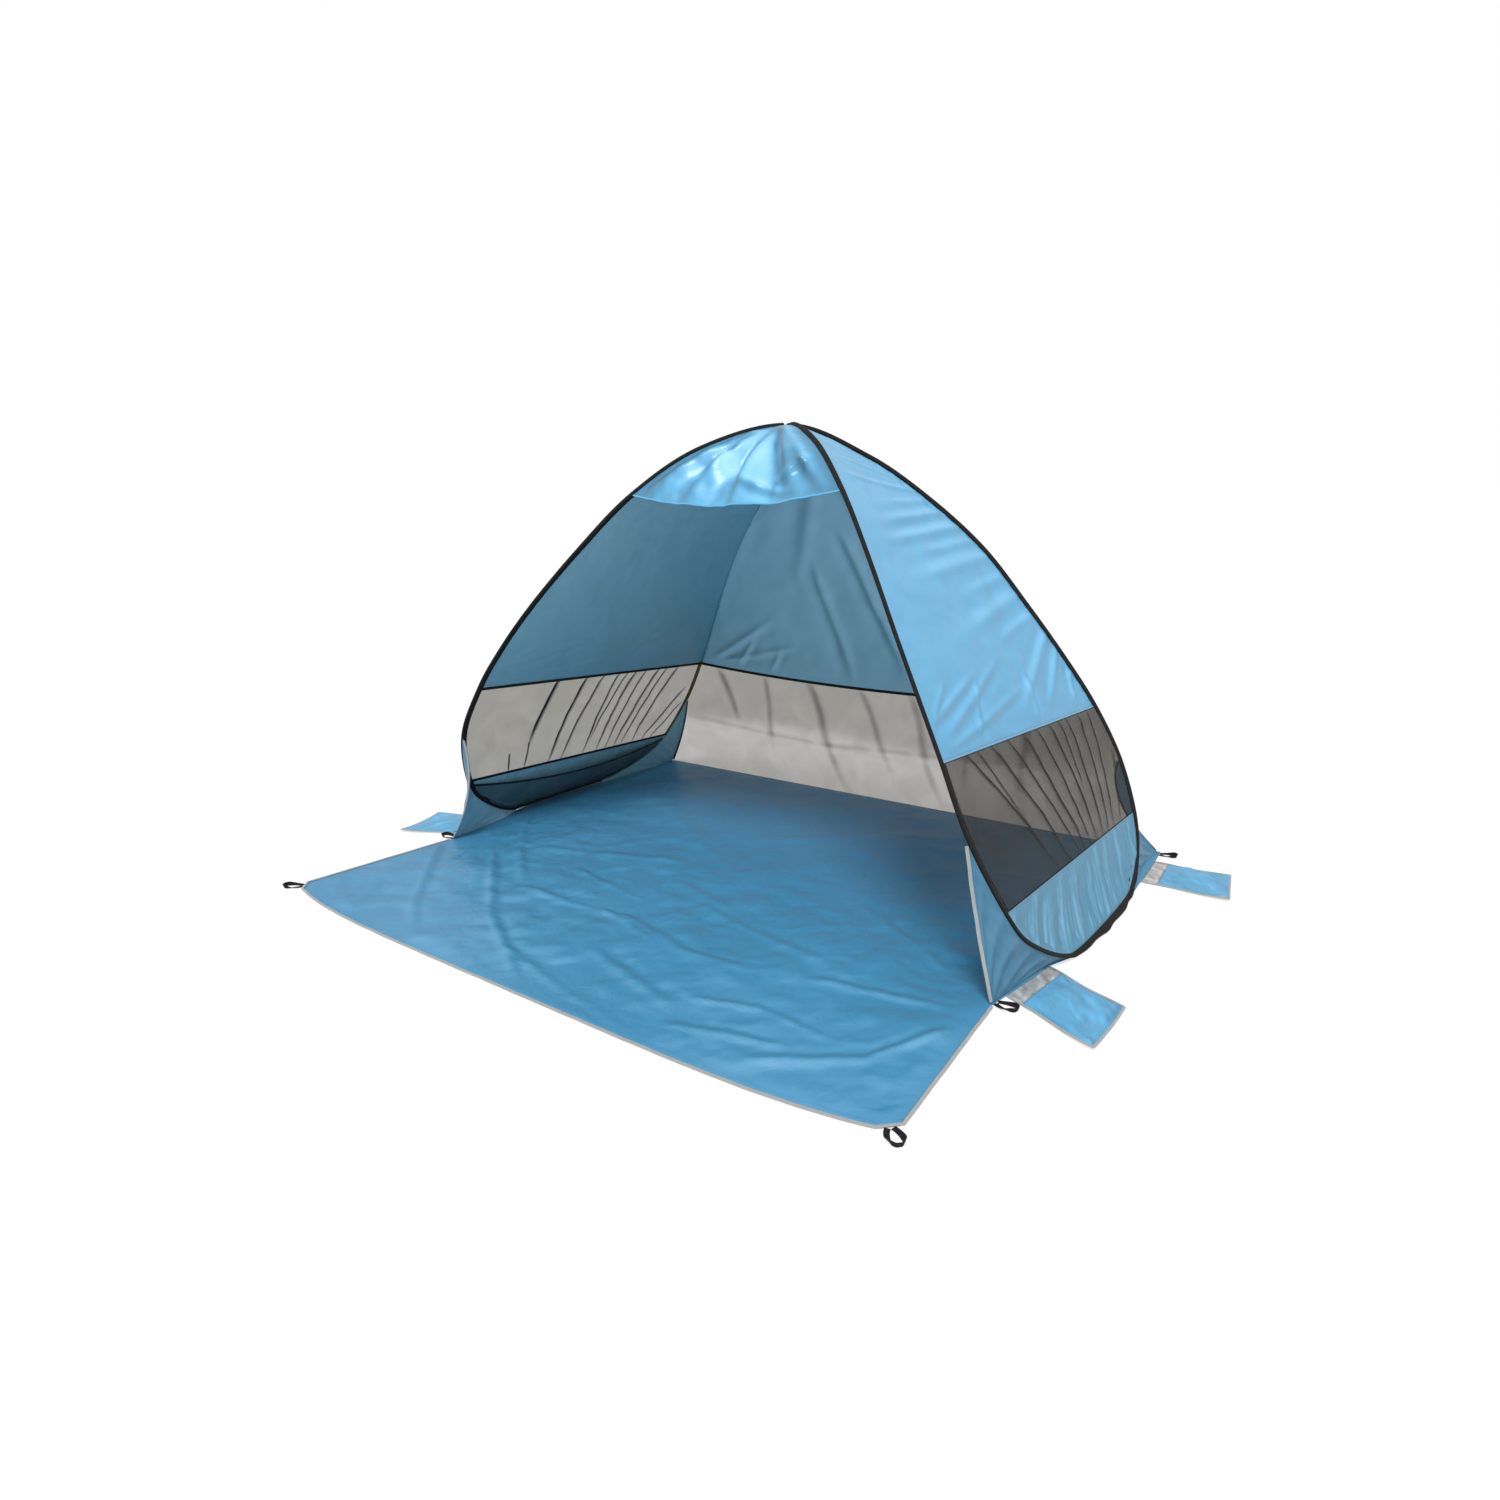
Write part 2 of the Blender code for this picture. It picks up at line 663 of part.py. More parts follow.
def corner_pieces(label, side):
    gusset(label, side, "front", FRONT_RULINGS)
    gusset(label, side, "rear", REAR_RULINGS)
    forward = Vector((0, -(PIPING_RADIUS + GAP + CLOTH / 2), 0))
    top, foot = FRONT_RULINGS[0]
    edge_piping(f"{label}_gusset_piping", side, top, foot, forward, PIPING_RADIUS, "piping")
    top, foot = REAR_RULINGS[0]
    top = (top + back_edge(LEAVE_ROW)) / 2
    foot = (foot + BACK_FOOT) / 2
    name = f"{label}_back_corner_piping"
    edge_piping(name, side, top, foot, Vector(), CORNER_PIPING_RADIUS, "webbing")


NET_TOP_ROW = WINDOW_BOTTOM_ROW + NET_DROP_SHARE
NET_FOOT_ROW = BOTTOM_ROW - 1 / STATIONS_PER_ROW


def net_pocket_point(share, down):
    """Inner face of the net pocket: sewn to the wall at its sides and foot, open at the top."""
    row_length = (front_rod(BOTTOM_ROW - 1) - front_rod(WINDOW_BOTTOM_ROW)).length
    across = 4 * share * (1 - share)
    top = NET_TOP_ROW + NET_POCKET_SAG / row_length * across
    row = top + (NET_FOOT_ROW - top) * down
    wall_share = NET_SIDE_SHARE + (1 - 2 * NET_SIDE_SHARE) * share
    stand_off = CLOTH + GAP + SEAM_GAP + NET_POCKET_BELLY * across * (1 - down ** 2)
    return wall_point(row, wall_share) - WALL_OUT * stand_off


def net_pocket(label, side):
    def place(column, index):
        return net_pocket_point(column / NET_COLUMNS, index / NET_ROWS)

    grid_sheet(f"{label}_net_pocket", NET_COLUMNS, NET_ROWS, place, "net", side)
    up_wall = (wall_point(WINDOW_TOP_ROW, 0.5) - wall_point(WINDOW_BOTTOM_ROW, 0.5)).normalized()
    rise = up_wall * (CLOTH / 2 + GAP + TAPE_THICKNESS)
    hem = [turned_to(side, net_pocket_point(step / NET_COLUMNS, 0) + rise)
           for step in range(NET_COLUMNS + 1)]
    rod(f"{label}_net_pocket_hem", hem, TAPE_THICKNESS, "webbing")


def floor_outline():
    right = [(out * FLOOR_HALF_WIDTH, share * HALF_DEPTH) for share, out in FLOOR_SIDE_SHARES]
    return right + [(-x, y) for x, y in reversed(right)]


def apron_path():
    """Right sill corner, right side, cut corner, bowed front, and back up the left side."""
    sill = -HALF_DEPTH - GAP
    tip = sill - APRON_DEPTH
    right = [(side_out(-HALF_DEPTH), sill), (APRON_HALF_WIDTH, tip + APRON_CORNER_CUT)]
    inner = APRON_HALF_WIDTH - APRON_CORNER_CUT
    front = []
    for step in range(APRON_STEPS + 1):
        share = 1 - 2 * step / APRON_STEPS
        front.append((inner * share, tip - APRON_BOW * (1 - abs(share) ** APRON_BOW_POWER)))
    return right + front + [(-x, y) for x, y in reversed(right)]


def offset_path(path, distance):
    """The path moved to its left side, with its ends kept on the line that closes it."""
    closing = (Vector(path[-1]) - Vector(path[0])).normalized()
    runs = [(Vector(b) - Vector(a)).normalized() for a, b in zip(path[:-1], path[1:])]
    sides = [Vector((-run.y, run.x)) for run in runs]
    moved = [Vector(path[0]) + closing * (distance / closing.dot(sides[0]))]
    for point, before, after in zip(path[1:-1], sides[:-1], sides[1:]):
        middle = (before + after).normalized()
        moved.append(Vector(point) + middle * (distance / middle.dot(before)))
    moved.append(Vector(path[-1]) + closing * (distance / closing.dot(sides[-1])))
    return [tuple(point) for point in moved]


def clockwise(path):
    """True where a path turns clockwise round its own middle."""
    area = sum(a[0] * b[1] - b[0] * a[1] for a, b in zip(path, path[1:] + path[:1]))
    return area < 0


def binding(name, path, height, bottom=0.0):
    """A band of folded binding outside a path, open at the path's ends."""
    turn = 1 if clockwise(path) else -1
    inner = offset_path(path, turn * GAP)
    outer = offset_path(path, turn * (GAP + BINDING_WIDTH))
    return plate(name, [inner + outer[::-1]], height, "piping", bottom)


def ground_pieces():
    plate("floor_sheet", [floor_outline()], FLOOR_SHEET, "floor_cloth")
    pivot = bpy.data.objects.new("apron_hinge", None)
    pivot.location = (0, -HALF_DEPTH, FLOOR_TOP)
    tent.objects.link(pivot)
    sheet = plate("apron_sheet", [apron_path()], FLOOR_SHEET, "floor_cloth")
    band = binding("apron_binding", apron_path(), BINDING_HEIGHT)
    for piece in (sheet, band):
        piece.location -= pivot.location
        piece.parent = pivot


def edge_turn(along):
    """Direction square to the floor's right edge at a place, as an angle from +X."""
    step = LOOP_ROOT_WIDTH / 2
    run = side_out(along + step) - side_out(along - step)
    return -math.atan2(run, 2 * step)


def hinge_place(along, top):
    """Hinge point just outside the floor's right edge, at a height."""
    turn = edge_turn(along)
    reach = side_out(along)
    return Vector((reach + GAP * math.cos(turn), along + GAP * math.sin(turn), top)), turn


def hinge(name, side, place, turn):
    """An empty on a hinge line, with X pointing away from the tent."""
    pivot = bpy.data.objects.new(name + "_hinge", None)
    pivot.location = turned_to(side, place)
    pivot.rotation_euler.z = turn if side > 0 else math.pi - turn
    tent.objects.link(pivot)
    return pivot


def sand_pocket(label, side, along, skew):
    """A flat pouch at the floor's edge: a back, a top open at the strip, and its binding."""
    pivot = hinge(label, side, *hinge_place(along, CLOTH))
    lean = math.tan(skew)
    half = POCKET_WIDTH / 2
    end = POCKET_LENGTH

    def corner(x, y):
        return (x, side * (y + x * lean))

    back = [corner(0, -half), corner(end, -half), corner(end, half), corner(0, half)]
    plate(label + "_back", [back], CLOTH, "silver_cloth", -CLOTH).parent = pivot

    def top_place(column, index):
        down, across = index / POCKET_STEPS, column / POCKET_STEPS
        x = POCKET_STRIP + (end - POCKET_STRIP) * down
        y = half * (2 * across - 1)
        rise = POCKET_BELLY * 4 * across * (1 - across) * (1 - down ** 2)
        flat = corner(x, y)
        return Vector((flat[0], flat[1], GAP + CLOTH / 2 + rise))

    top = grid_sheet(label + "_top", POCKET_STEPS, POCKET_STEPS, top_place, "sky_cloth")
    top.parent = pivot
    binding(label + "_binding", back, BINDING_HEIGHT, -CLOTH).parent = pivot


def loop_half_width(x):
    """Half width of a peg loop along its length: tapered from its root, round at its tip."""
    widest = LOOP_LENGTH / 2
    if x < widest:
        share = x / widest
        return (LOOP_ROOT_WIDTH + (LOOP_WIDTH - LOOP_ROOT_WIDTH) * share * (2 - share)) / 2
    return LOOP_WIDTH / 2 * math.sqrt(max(1 - ((x - widest) / (LOOP_LENGTH - widest)) ** 2, 0))


def loop_outline(inset):
    first = inset
    last = LOOP_LENGTH - inset
    turns = [math.pi / 2 * step / LOOP_STEPS for step in range(LOOP_STEPS)]
    xs = [first + (last - first) * math.sin(turn) for turn in turns]
    ratio = (LOOP_WIDTH / 2 - inset) / (LOOP_WIDTH / 2)
    near = [(x, loop_half_width(x) * ratio) for x in xs]
    return near + [(last, 0.0)] + [(x, -y) for x, y in reversed(near)]


def peg_loop(label, side, place, turn):
    """A loop of webbing with a hole for a peg, hinged where it is sewn on."""
    name = label + "_peg_loop"
    outlines = [loop_outline(0), loop_outline(LOOP_WEBBING)]
    loop = plate(name, outlines, LOOP_THICKNESS, "webbing", -LOOP_THICKNESS)
    loop.parent = hinge(name, side, place, turn)


def apron_loop_place():
    """Just outside the binding at the apron's cut corner, square to the cut."""
    path = apron_path()
    low, high = Vector(path[1]), Vector(path[2])
    run = (high - low).normalized()
    out = Vector((-run.y, run.x))
    out = out if out.x > 0 else -out
    middle = (low + high) / 2 + out * (GAP + BINDING_WIDTH + GAP)
    return Vector((middle.x, middle.y, LOOP_THICKNESS)), math.atan2(out.y, out.x)


def ground_fittings(label, side):
    front = FRONT_POCKET_SETBACK - HALF_DEPTH
    rear = HALF_DEPTH - REAR_POCKET_SETBACK
    corner = HALF_DEPTH - CORNER_LOOP_SETBACK
    sand_pocket(f"{label}_front_pocket", side, front, FRONT_POCKET_SKEW_ANGLE)
    sand_pocket(f"{label}_rear_pocket", side, rear, REAR_POCKET_SKEW_ANGLE)
    peg_loop(f"{label}_sill", side, *hinge_place(-corner, LOOP_THICKNESS))
    peg_loop(f"{label}_back", side, *hinge_place(corner, LOOP_THICKNESS))
    peg_loop(f"{label}_apron", side, *apron_loop_place())


spring_wire()
wire_ferrule()
apex_tie()
back_pieces()
front_hood()
ground_pieces()
net_pocket("left", SIDES["left"])
for name, sign in SIDES.items():
    hoop_sleeve(name, sign)
    side_pieces(name, sign)
    corner_pieces(name, sign)
    ground_fittings(name, sign)
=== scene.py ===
"""Pop-up beach tent: cloth, nets, webbing, tapes and stitches dressed over the fixed frame."""
import functools
import json
import math
import random

import bmesh
import bpy
import numpy as np
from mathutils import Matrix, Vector, noise


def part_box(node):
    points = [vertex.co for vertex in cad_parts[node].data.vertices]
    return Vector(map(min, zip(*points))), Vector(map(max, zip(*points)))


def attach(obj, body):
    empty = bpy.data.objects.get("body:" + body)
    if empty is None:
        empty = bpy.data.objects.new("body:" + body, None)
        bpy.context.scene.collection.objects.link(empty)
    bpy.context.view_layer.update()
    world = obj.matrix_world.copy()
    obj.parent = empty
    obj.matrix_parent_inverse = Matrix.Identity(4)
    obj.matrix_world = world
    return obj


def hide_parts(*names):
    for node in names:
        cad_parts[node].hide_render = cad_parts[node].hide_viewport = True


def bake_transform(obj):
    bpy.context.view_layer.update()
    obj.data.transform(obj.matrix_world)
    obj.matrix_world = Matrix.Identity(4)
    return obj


bl_info = {
    "name": "Pop-up beach tent",
    "version": (1, 0, 0),
    "blender": (4, 5, 0),
    "location": "3D View > Sidebar > Beach tent",
    "description": "Dresses a pop-up beach tent in taffeta, net, webbing and tape",
    "category": "Add Mesh",
}

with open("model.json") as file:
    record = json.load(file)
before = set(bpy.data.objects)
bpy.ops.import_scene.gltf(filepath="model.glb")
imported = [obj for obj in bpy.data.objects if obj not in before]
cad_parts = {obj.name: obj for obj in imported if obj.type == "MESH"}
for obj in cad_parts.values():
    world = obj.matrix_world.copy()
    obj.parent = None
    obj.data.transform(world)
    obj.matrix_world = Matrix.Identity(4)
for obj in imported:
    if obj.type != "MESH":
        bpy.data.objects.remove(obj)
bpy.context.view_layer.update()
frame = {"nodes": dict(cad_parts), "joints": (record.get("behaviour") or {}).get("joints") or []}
FLOOR_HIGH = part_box("floor_sheet")[1]
TIE_LOW, TIE_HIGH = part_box("apex_tie")

# Main sizes of the tent, in metres, read from the frame. Front is -Y.
FLOOR_HALF_WIDTH = FLOOR_HIGH.x
HALF_DEPTH = FLOOR_HIGH.y
FLOOR_TOP = FLOOR_HIGH.z
APEX_HEIGHT = (TIE_LOW.z + TIE_HIGH.z) / 2
GAP = 0.0003

# The two hoops and their sleeves
HOOP_HALF_WIDTH = FLOOR_HALF_WIDTH - 0.007
HOOP_FRONT_REACH = HALF_DEPTH - 0.025
HOOP_REAR_REACH = HALF_DEPTH - 0.060
HOOP_BASE_OFFSET = 0.05
SLEEVE_RADIUS = 0.0052
SLEEVE_FLATNESS = 0.92
SLEEVE_WELT = 0.0155
SHOWN_WELT_SHARE = 0.60
WIDEST_WELT_SHARE = 0.30
WELT_COVER = 0.0021
SLEEVE_COVER = 0.0004
# The sleeve's section: how far in, as shares of its radius and then of the welt, and half thickness
SLEEVE_SHOULDER = ((0.62, 0.0037), (1.05, 0.0021))
WELT_SECTION = ((0.30, 0.0014), (0.70, 0.0012), (0.80, 0.0015), (0.97, 0.0014), (1.00, 0.0004))
WALL_SEAT_SHARE = 0.75
CLOTH_SEAT_SHARE = 0.70
# How uneven the sleeve is, and how many times a metre
SLEEVE_LUMPS = 0.05
LUMPS_PER_METRE = 22
WELT_WANDER = 0.0012
WANDERS_PER_METRE = 9
WELT_HALF_THICKNESS = 0.0014
STITCH_PLACE_SHARE = 0.6
STITCH_END_GAP = 0.5
# A welt aims at the wall, between these shares of its width and this far above its lowest row
WELT_AIM_SHARES = (0.1, 0.9)
WELT_AIM_RISE = 0.3
SEAT_HEIGHT = FLOOR_TOP + GAP + SLEEVE_RADIUS
MOUTH_ROW = 0.08
STEPS_PER_ROW = 12
COVER_TURN_START = 13.0
COVER_TURN_END = 13.8
CROSSING_SPAN = 1.2
CROSSING_TAPER = 0.98
SLEEVE_SLACK = 0.012
SLACK_MIDDLE = 11.4
SLACK_REACH = 1.7
SLACK_LUMPS = 0.5
SLACK_LUMPS_PER_METRE = 14
APEX_BULK = 0.55
APEX_BULK_ROWS = 2.6

# Walls
BACK_SEAM_SAG = 0.030
GUSSET_INSET = 0.004
SILL_INSET = 0.012
BACK_CORNER_GAP = 0.0065
HOOD_CROWN = 0.040
HOOD_ANGLE = math.radians(53.0)
HOOD_START = 0.12
TAPE_WIDTH = 0.010
TAPE_THICKNESS = 0.0010
HEM_WIDTH = 0.0052
TAPE_EDGE_SHARE = 0.30
TAPE_SHOULDER_SHARE = 0.96
TAPE_STAND_OFF = 0.0008
HEM_STAND_OFF = 0.0006
STITCH_STAND_OFF = 0.0007
SEAM_STEPS = 60
BACK_SEAM_STEPS = 80
SEAM_SLOPE_STEP = 0.1
TAPE_SHARP = math.radians(50)
SLEEVE_SHARP = math.radians(60)
HOOD_HEM_THICKNESS = 0.0018
GUSSET_BINDING_WIDTH = 0.0080
GUSSET_BINDING_THICKNESS = 0.0030
GUSSET_BINDING_SPAN = (0.035, 0.990)
GUSSET_BINDING_WAVE = 0.0012
GUSSET_BINDING_WAVES = 9
GUSSET_BINDING_LEAN = 0.06
GUSSET_BOW_WAY = {"front": Vector((-0.7, 0.7, 0)), "rear": Vector((-1, 0, 0))}
WALL_HOLLOW = 0.010
GATHER_HEIGHT = 0.0024
BROAD_GATHER_HEIGHT = 0.005
WELT_LIFT = 0.0012
HOOD_SIDE_PIN = 9
HOOD_TOP_PIN = 5
# The back net: the height that counts as a full pleat, and the share of the view a full pleat hides
# more. Painted shade and light: a wavy line, as a share of the way down, with its soft edge; the
# share the net hides more above it, and the share it hides less all over, so it is lighter below
# the line
BACK_PLEAT_HEIGHT = 0.012
BACK_PLEAT_SHARE = 0.4
BACK_NET_SHADE_LINE = 0.60
BACK_NET_SHADE_WAVE = 0.03
BACK_NET_SHADE_WAVE_RATE = 5
BACK_NET_SHADE_EDGE = 0.02
BACK_NET_SHADED_SHARE = 0.19
BACK_NET_LIT_SHARE = 0.11
BACK_PIPING_WIDTH = 0.0075
BACK_PIPING_THICKNESS = 0.0030
BACK_PIPING_SPAN = (0.03, 0.98)
GUSSET_FOLD_SHARE = 0.6
GUSSET_EDGE_BOW = {"left": 0.034, "right": 0.014}
BACK_CORNER_BOW = {"left": 0.014, "right": 0.050}

# Net pocket inside the left wall
NET_DROP = 0.15
NET_SIDE_SHARE = 0.006
NET_POCKET_BELLY = 0.030
NET_POCKET_SAG = 0.030
NET_POCKET_STAND_OFF = 0.0026
NET_POCKET_HEM_WIDTH = 0.0070
NET_POCKET_HEM_THICKNESS = 0.0024

# Ground cloth, pockets and loops
APRON_DEPTH = 0.49
APRON_HALF_WIDTH = FLOOR_HALF_WIDTH - 0.072
APRON_BOW = 0.046
APRON_CORNER_CUT = 0.034
APRON_FRONT_HALF = APRON_HALF_WIDTH - APRON_CORNER_CUT
APRON_BOW_POWER = 5
FRONT_REACH_START = 0.72
GROUND_CREASE_SHARE = 0.8
GROUND_RISE = 0.0035
GROUND_RELIEF_LIMIT = 0.013
# Shares of the way to the front: where small wrinkles start to grow, and over how much of it
WALKED_START = 0.25
WALKED_REACH = 0.35
LEAST_WALKED = 0.12
# Painted shade under the roof: the cloth is fully lit from this share of the way on, and darker
# before it, fading in over the reach, by the last share
FULLY_LIT_FROM = 0.85
ROOF_SHADE_REACH = 0.3
ROOF_SHADE_DEPTH = 0.12
BINDING_WIDTH = 0.0070
BINDING_HEIGHT = 0.0026
BINDING_WAVE = 0.0010
BINDING_WAVES_PER_STEP = 0.21
BINDING_OVERLAP = 0.0010
BINDING_REST = 0.0002
POCKET_BINDING_SHARE = 0.7
POCKET_BINDING_OVERLAP = 0.0012
POCKET_BINDING_REST = 0.0004
POCKET_WIDTH = 0.185
POCKET_LENGTH = 0.218
POCKET_STRIP = 0.042
POCKET_BELLY = 0.011
POCKET_CLOTH = 0.0015
POCKET_WAVE = 0.0028
# A pocket's waves, outwards and along its hinge, and how its belly rises from the mouth on
POCKET_WAVE_RATES = (34, 9)
POCKET_RISE_START = 0.25
POCKET_RISE_END = 1 / 3
POCKET_LIFT = 0.006
POCKET_SLANT = -0.10
POCKET_TOP_GAP = 0.0009
FRONT_POCKET_SKEW = math.radians(-18.0)
REAR_POCKET_SKEW = math.radians(-4.0)
LOOP_LENGTH = 0.052
LOOP_ROOT_WIDTH = 0.022
LOOP_WIDTH = 0.036
LOOP_WEBBING = 0.0115
LOOP_THICKNESS = 0.0018
LOOP_UPRIGHT = 0.75
LOOP_TURN_SHARE = 0.8
LOOP_MIDDLE_SHARE = 0.45
LOOP_ROOT_SHARE = 0.2
LOOP_STEPS = 14

# A fold's fading ends (steepness, start), and the trough beside it as shares of its own size
FOLD_FADE_IN = (6, 0.4)
FOLD_FADE_OUT = (3, 0.2)
TROUGH_DEPTH = 0.5
TROUGH_PLACE = 1.9
TROUGH_WIDTH = 1.4
# Small gathers at sewn edges: the least and the greatest share of each size
PUCKER_HEIGHTS = (0.3, 1.0)
PUCKER_WIDTHS = (0.18, 0.30)
PUCKER_LENGTHS = (0.5, 1.5)
PUCKER_STEPS = (0.7, 1.5)
PUCKER_LEAN = 0.25
PUCKER_ROOT = 0.004
GLEAM_RANGE = (-0.45, 0.9)
PLEAT_SHADE_SHARE = 0.75
# The pale glint on the lit side of a fold: its share of the fold's shade, and its colour
GLINT_SHARE = 0.35
GLINT_COLOUR = (0.95, 1.0, 1.0)

# One row for each level of a petal, apex first. Each row gives the front rod's place and the
# rear rod's place as shares: across of HOOP_HALF_WIDTH, reach of the front or rear reach, up.
PETAL_SHARES = [
    ((0.000, 0.000, 1.000), (0.000, 0.000, 1.000)),
    ((0.186, 0.287, 0.951), (0.147, 0.326, 0.940)),
    ((0.341, 0.504, 0.851), (0.293, 0.518, 0.849)),
    ((0.471, 0.671, 0.728), (0.446, 0.662, 0.732)),
    ((0.589, 0.819, 0.601), (0.571, 0.781, 0.599)),
    ((0.680, 0.913, 0.494), (0.677, 0.896, 0.474)),
    ((0.752, 0.970, 0.399), (0.768, 0.978, 0.359)),
    ((0.828, 0.997, 0.277), (0.855, 1.000, 0.233)),
    ((0.902, 0.893, 0.137), (0.927, 0.898, 0.113)),
    ((0.936, 0.748, 0.061), (0.968, 0.685, 0.044)),
    ((0.984, 0.470, 0.000), (0.998, 0.315, 0.000)),
]
HOOD_ROW = 2
WINDOW_TOP_ROW = 6
LEAVE_ROW = 7
WINDOW_BOTTOM_ROW = 8
BOTTOM_ROW = len(PETAL_SHARES) - 1

# The floor's side edge, front to back: along as a share of half the depth, out of half the width
FLOOR_SIDE_SHARES = [
    (-1.000, 0.906), (-0.575, 0.948), (-0.450, 0.978), (-0.300, 0.995), (-0.083, 1.000),
    (0.167, 0.999), (0.367, 0.997), (0.483, 0.995), (0.867, 0.990), (1.000, 0.985),
]

# Folds: start and end as shares across and down the piece, then width and height in metres
WINDOW_PLEATS = {
    "left": [
        (0.30, 0.00, 0.25, 0.70, 0.0110, 0.0050), (0.42, 0.00, 0.34, 1.00, 0.0075, 0.0060),
        (0.50, 0.00, 0.40, 1.00, 0.0055, 0.0075), (0.57, 0.00, 0.51, 1.00, 0.0050, 0.0060),
        (0.61, 0.00, 0.53, 0.80, 0.0040, 0.0040), (0.65, 0.00, 0.58, 1.00, 0.0060, 0.0080),
        (0.70, 0.00, 0.63, 1.00, 0.0045, 0.0055), (0.77, 0.00, 0.68, 1.00, 0.0060, 0.0080),
        (0.81, 0.00, 0.72, 1.00, 0.0045, 0.0055), (0.87, 0.00, 0.78, 1.00, 0.0055, 0.0075),
        (0.95, 0.35, 0.84, 1.00, 0.0050, 0.0060), (0.97, 0.55, 0.89, 1.00, 0.0040, 0.0045),
        (0.17, 0.78, 0.16, 1.00, 0.0040, 0.0035), (0.25, 0.70, 0.23, 1.00, 0.0040, 0.0040),
    ],
    "right": [
        (0.10, 0.00, 0.34, 0.96, 0.0065, 0.0070), (0.16, 0.00, 0.26, 0.55, 0.0040, 0.0040),
        (0.23, 0.00, 0.43, 1.00, 0.0070, 0.0075), (0.33, 0.00, 0.50, 1.00, 0.0055, 0.0055),
        (0.42, 0.00, 0.54, 1.00, 0.0080, 0.0085), (0.52, 0.00, 0.59, 1.00, 0.0060, 0.0065),
        (0.61, 0.00, 0.645, 1.00, 0.0075, 0.0080), (0.68, 0.00, 0.66, 0.60, 0.0045, 0.0045),
        (0.74, 0.00, 0.70, 1.00, 0.0070, 0.0070), (0.84, 0.00, 0.75, 1.00, 0.0065, 0.0065),
        (0.93, 0.00, 0.80, 1.00, 0.0055, 0.0050), (0.97, 0.40, 0.86, 1.00, 0.0045, 0.0045),
    ],
}
UPPER_WALL_FOLDS = [
    (0.90, 0.200, 0.25, 0.130, 0.007, 0.0035), (0.96, 0.250, 0.25, 0.195, 0.008, 0.0040),
    (0.98, 0.300, 0.15, 0.270, 0.010, 0.0048), (0.98, 0.335, 0.40, 0.350, 0.009, 0.0028),
    (0.98, 0.370, 0.28, 0.400, 0.013, 0.0060), (0.98, 0.420, 0.20, 0.450, 0.015, 0.0072),
    (0.98, 0.468, 0.45, 0.488, 0.012, 0.0038), (0.98, 0.515, 0.30, 0.548, 0.019, 0.0062),
    (0.98, 0.572, 0.58, 0.598, 0.013, 0.0033), (0.98, 0.625, 0.44, 0.692, 0.019, 0.0056),
    (0.98, 0.690, 0.64, 0.735, 0.012, 0.0034), (0.98, 0.750, 0.53, 0.930, 0.014, 0.0055),
    (0.98, 0.800, 0.70, 0.950, 0.012, 0.0050), (0.98, 0.870, 0.86, 0.970, 0.010, 0.0045),
    (0.01, 0.900, 0.33, 0.800, 0.010, 0.0050), (0.08, 0.930, 0.53, 0.780, 0.011, 0.0050),
    (0.03, 0.880, 0.15, 0.800, 0.009, 0.0040), (0.05, 0.980, 0.55, 0.880, 0.010, 0.0045),
    (0.20, 0.990, 0.34, 0.800, 0.009, 0.0040), (0.56, 0.990, 0.66, 0.830, 0.011, 0.0045),
]
BACK_WALL_FOLDS = [
    (0.52, 0.08, 0.65, 0.72, 0.030, 0.0130), (0.62, 0.60, 0.72, 0.99, 0.026, 0.0100),
    (0.47, 0.45, 0.60, 0.92, 0.018, 0.0070), (0.66, 0.20, 0.83, 0.80, 0.028, -0.0080),
    (0.58, 0.14, 0.78, 0.70, 0.020, 0.0070), (0.34, 0.55, 0.46, 0.98, 0.020, 0.0070),
    (0.04, 0.95, 0.20, 0.76, 0.013, 0.0060), (0.06, 0.97, 0.28, 0.86, 0.012, 0.0050),
    (0.12, 0.98, 0.15, 0.84, 0.010, 0.0050), (0.22, 0.99, 0.24, 0.88, 0.010, 0.0040),
    (0.40, 0.15, 0.28, 0.60, 0.030, 0.0070), (0.90, 0.96, 0.74, 0.80, 0.014, 0.0060),
]
HOOD_FOLDS = [
    (0.50, 0.05, 0.05, 1.00, 0.016, 0.0080), (0.50, 0.05, 0.17, 1.00, 0.026, -0.0110),
    (0.50, 0.05, 0.30, 1.00, 0.024, 0.0150), (0.50, 0.05, 0.43, 1.00, 0.022, -0.0110),
    (0.50, 0.05, 0.55, 1.00, 0.020, 0.0130), (0.50, 0.05, 0.70, 1.00, 0.026, -0.0085),
    (0.50, 0.05, 0.83, 1.00, 0.022, 0.0120), (0.50, 0.05, 0.95, 1.00, 0.014, 0.0070),
    (0.66, 0.30, 0.90, 0.80, 0.022, 0.0080), (0.72, 0.85, 0.95, 0.62, 0.014, 0.0090),
    (0.28, 0.45, 0.52, 0.75, 0.022, -0.0080), (0.55, 0.80, 0.78, 0.92, 0.014, 0.0070),
]
BACK_NET_FOLDS = [
    (0.06, 0.05, 0.16, 0.60, 0.016, 0.0070), (0.20, 0.02, 0.26, 0.75, 0.014, 0.0060),
    (0.33, 0.03, 0.44, 0.98, 0.018, 0.0075), (0.47, 0.03, 0.55, 0.80, 0.014, 0.0060),
    (0.60, 0.05, 0.64, 0.97, 0.016, 0.0060), (0.74, 0.02, 0.70, 0.85, 0.014, 0.0060),
    (0.86, 0.05, 0.80, 0.90, 0.016, 0.0070), (0.02, 0.62, 0.60, 0.70, 0.010, 0.0040),
    (0.40, 0.66, 0.98, 0.60, 0.010, 0.0040),
]
GUSSET_FOLDS = [
    (0.05, 0.15, 0.80, 0.02, 0.010, 0.0050), (0.05, 0.32, 0.92, 0.10, 0.010, 0.0055),
    (0.08, 0.50, 0.95, 0.24, 0.010, 0.0050), (0.10, 0.68, 0.95, 0.42, 0.009, 0.0040),
    (0.10, 0.82, 0.95, 0.60, 0.008, 0.0035),
]

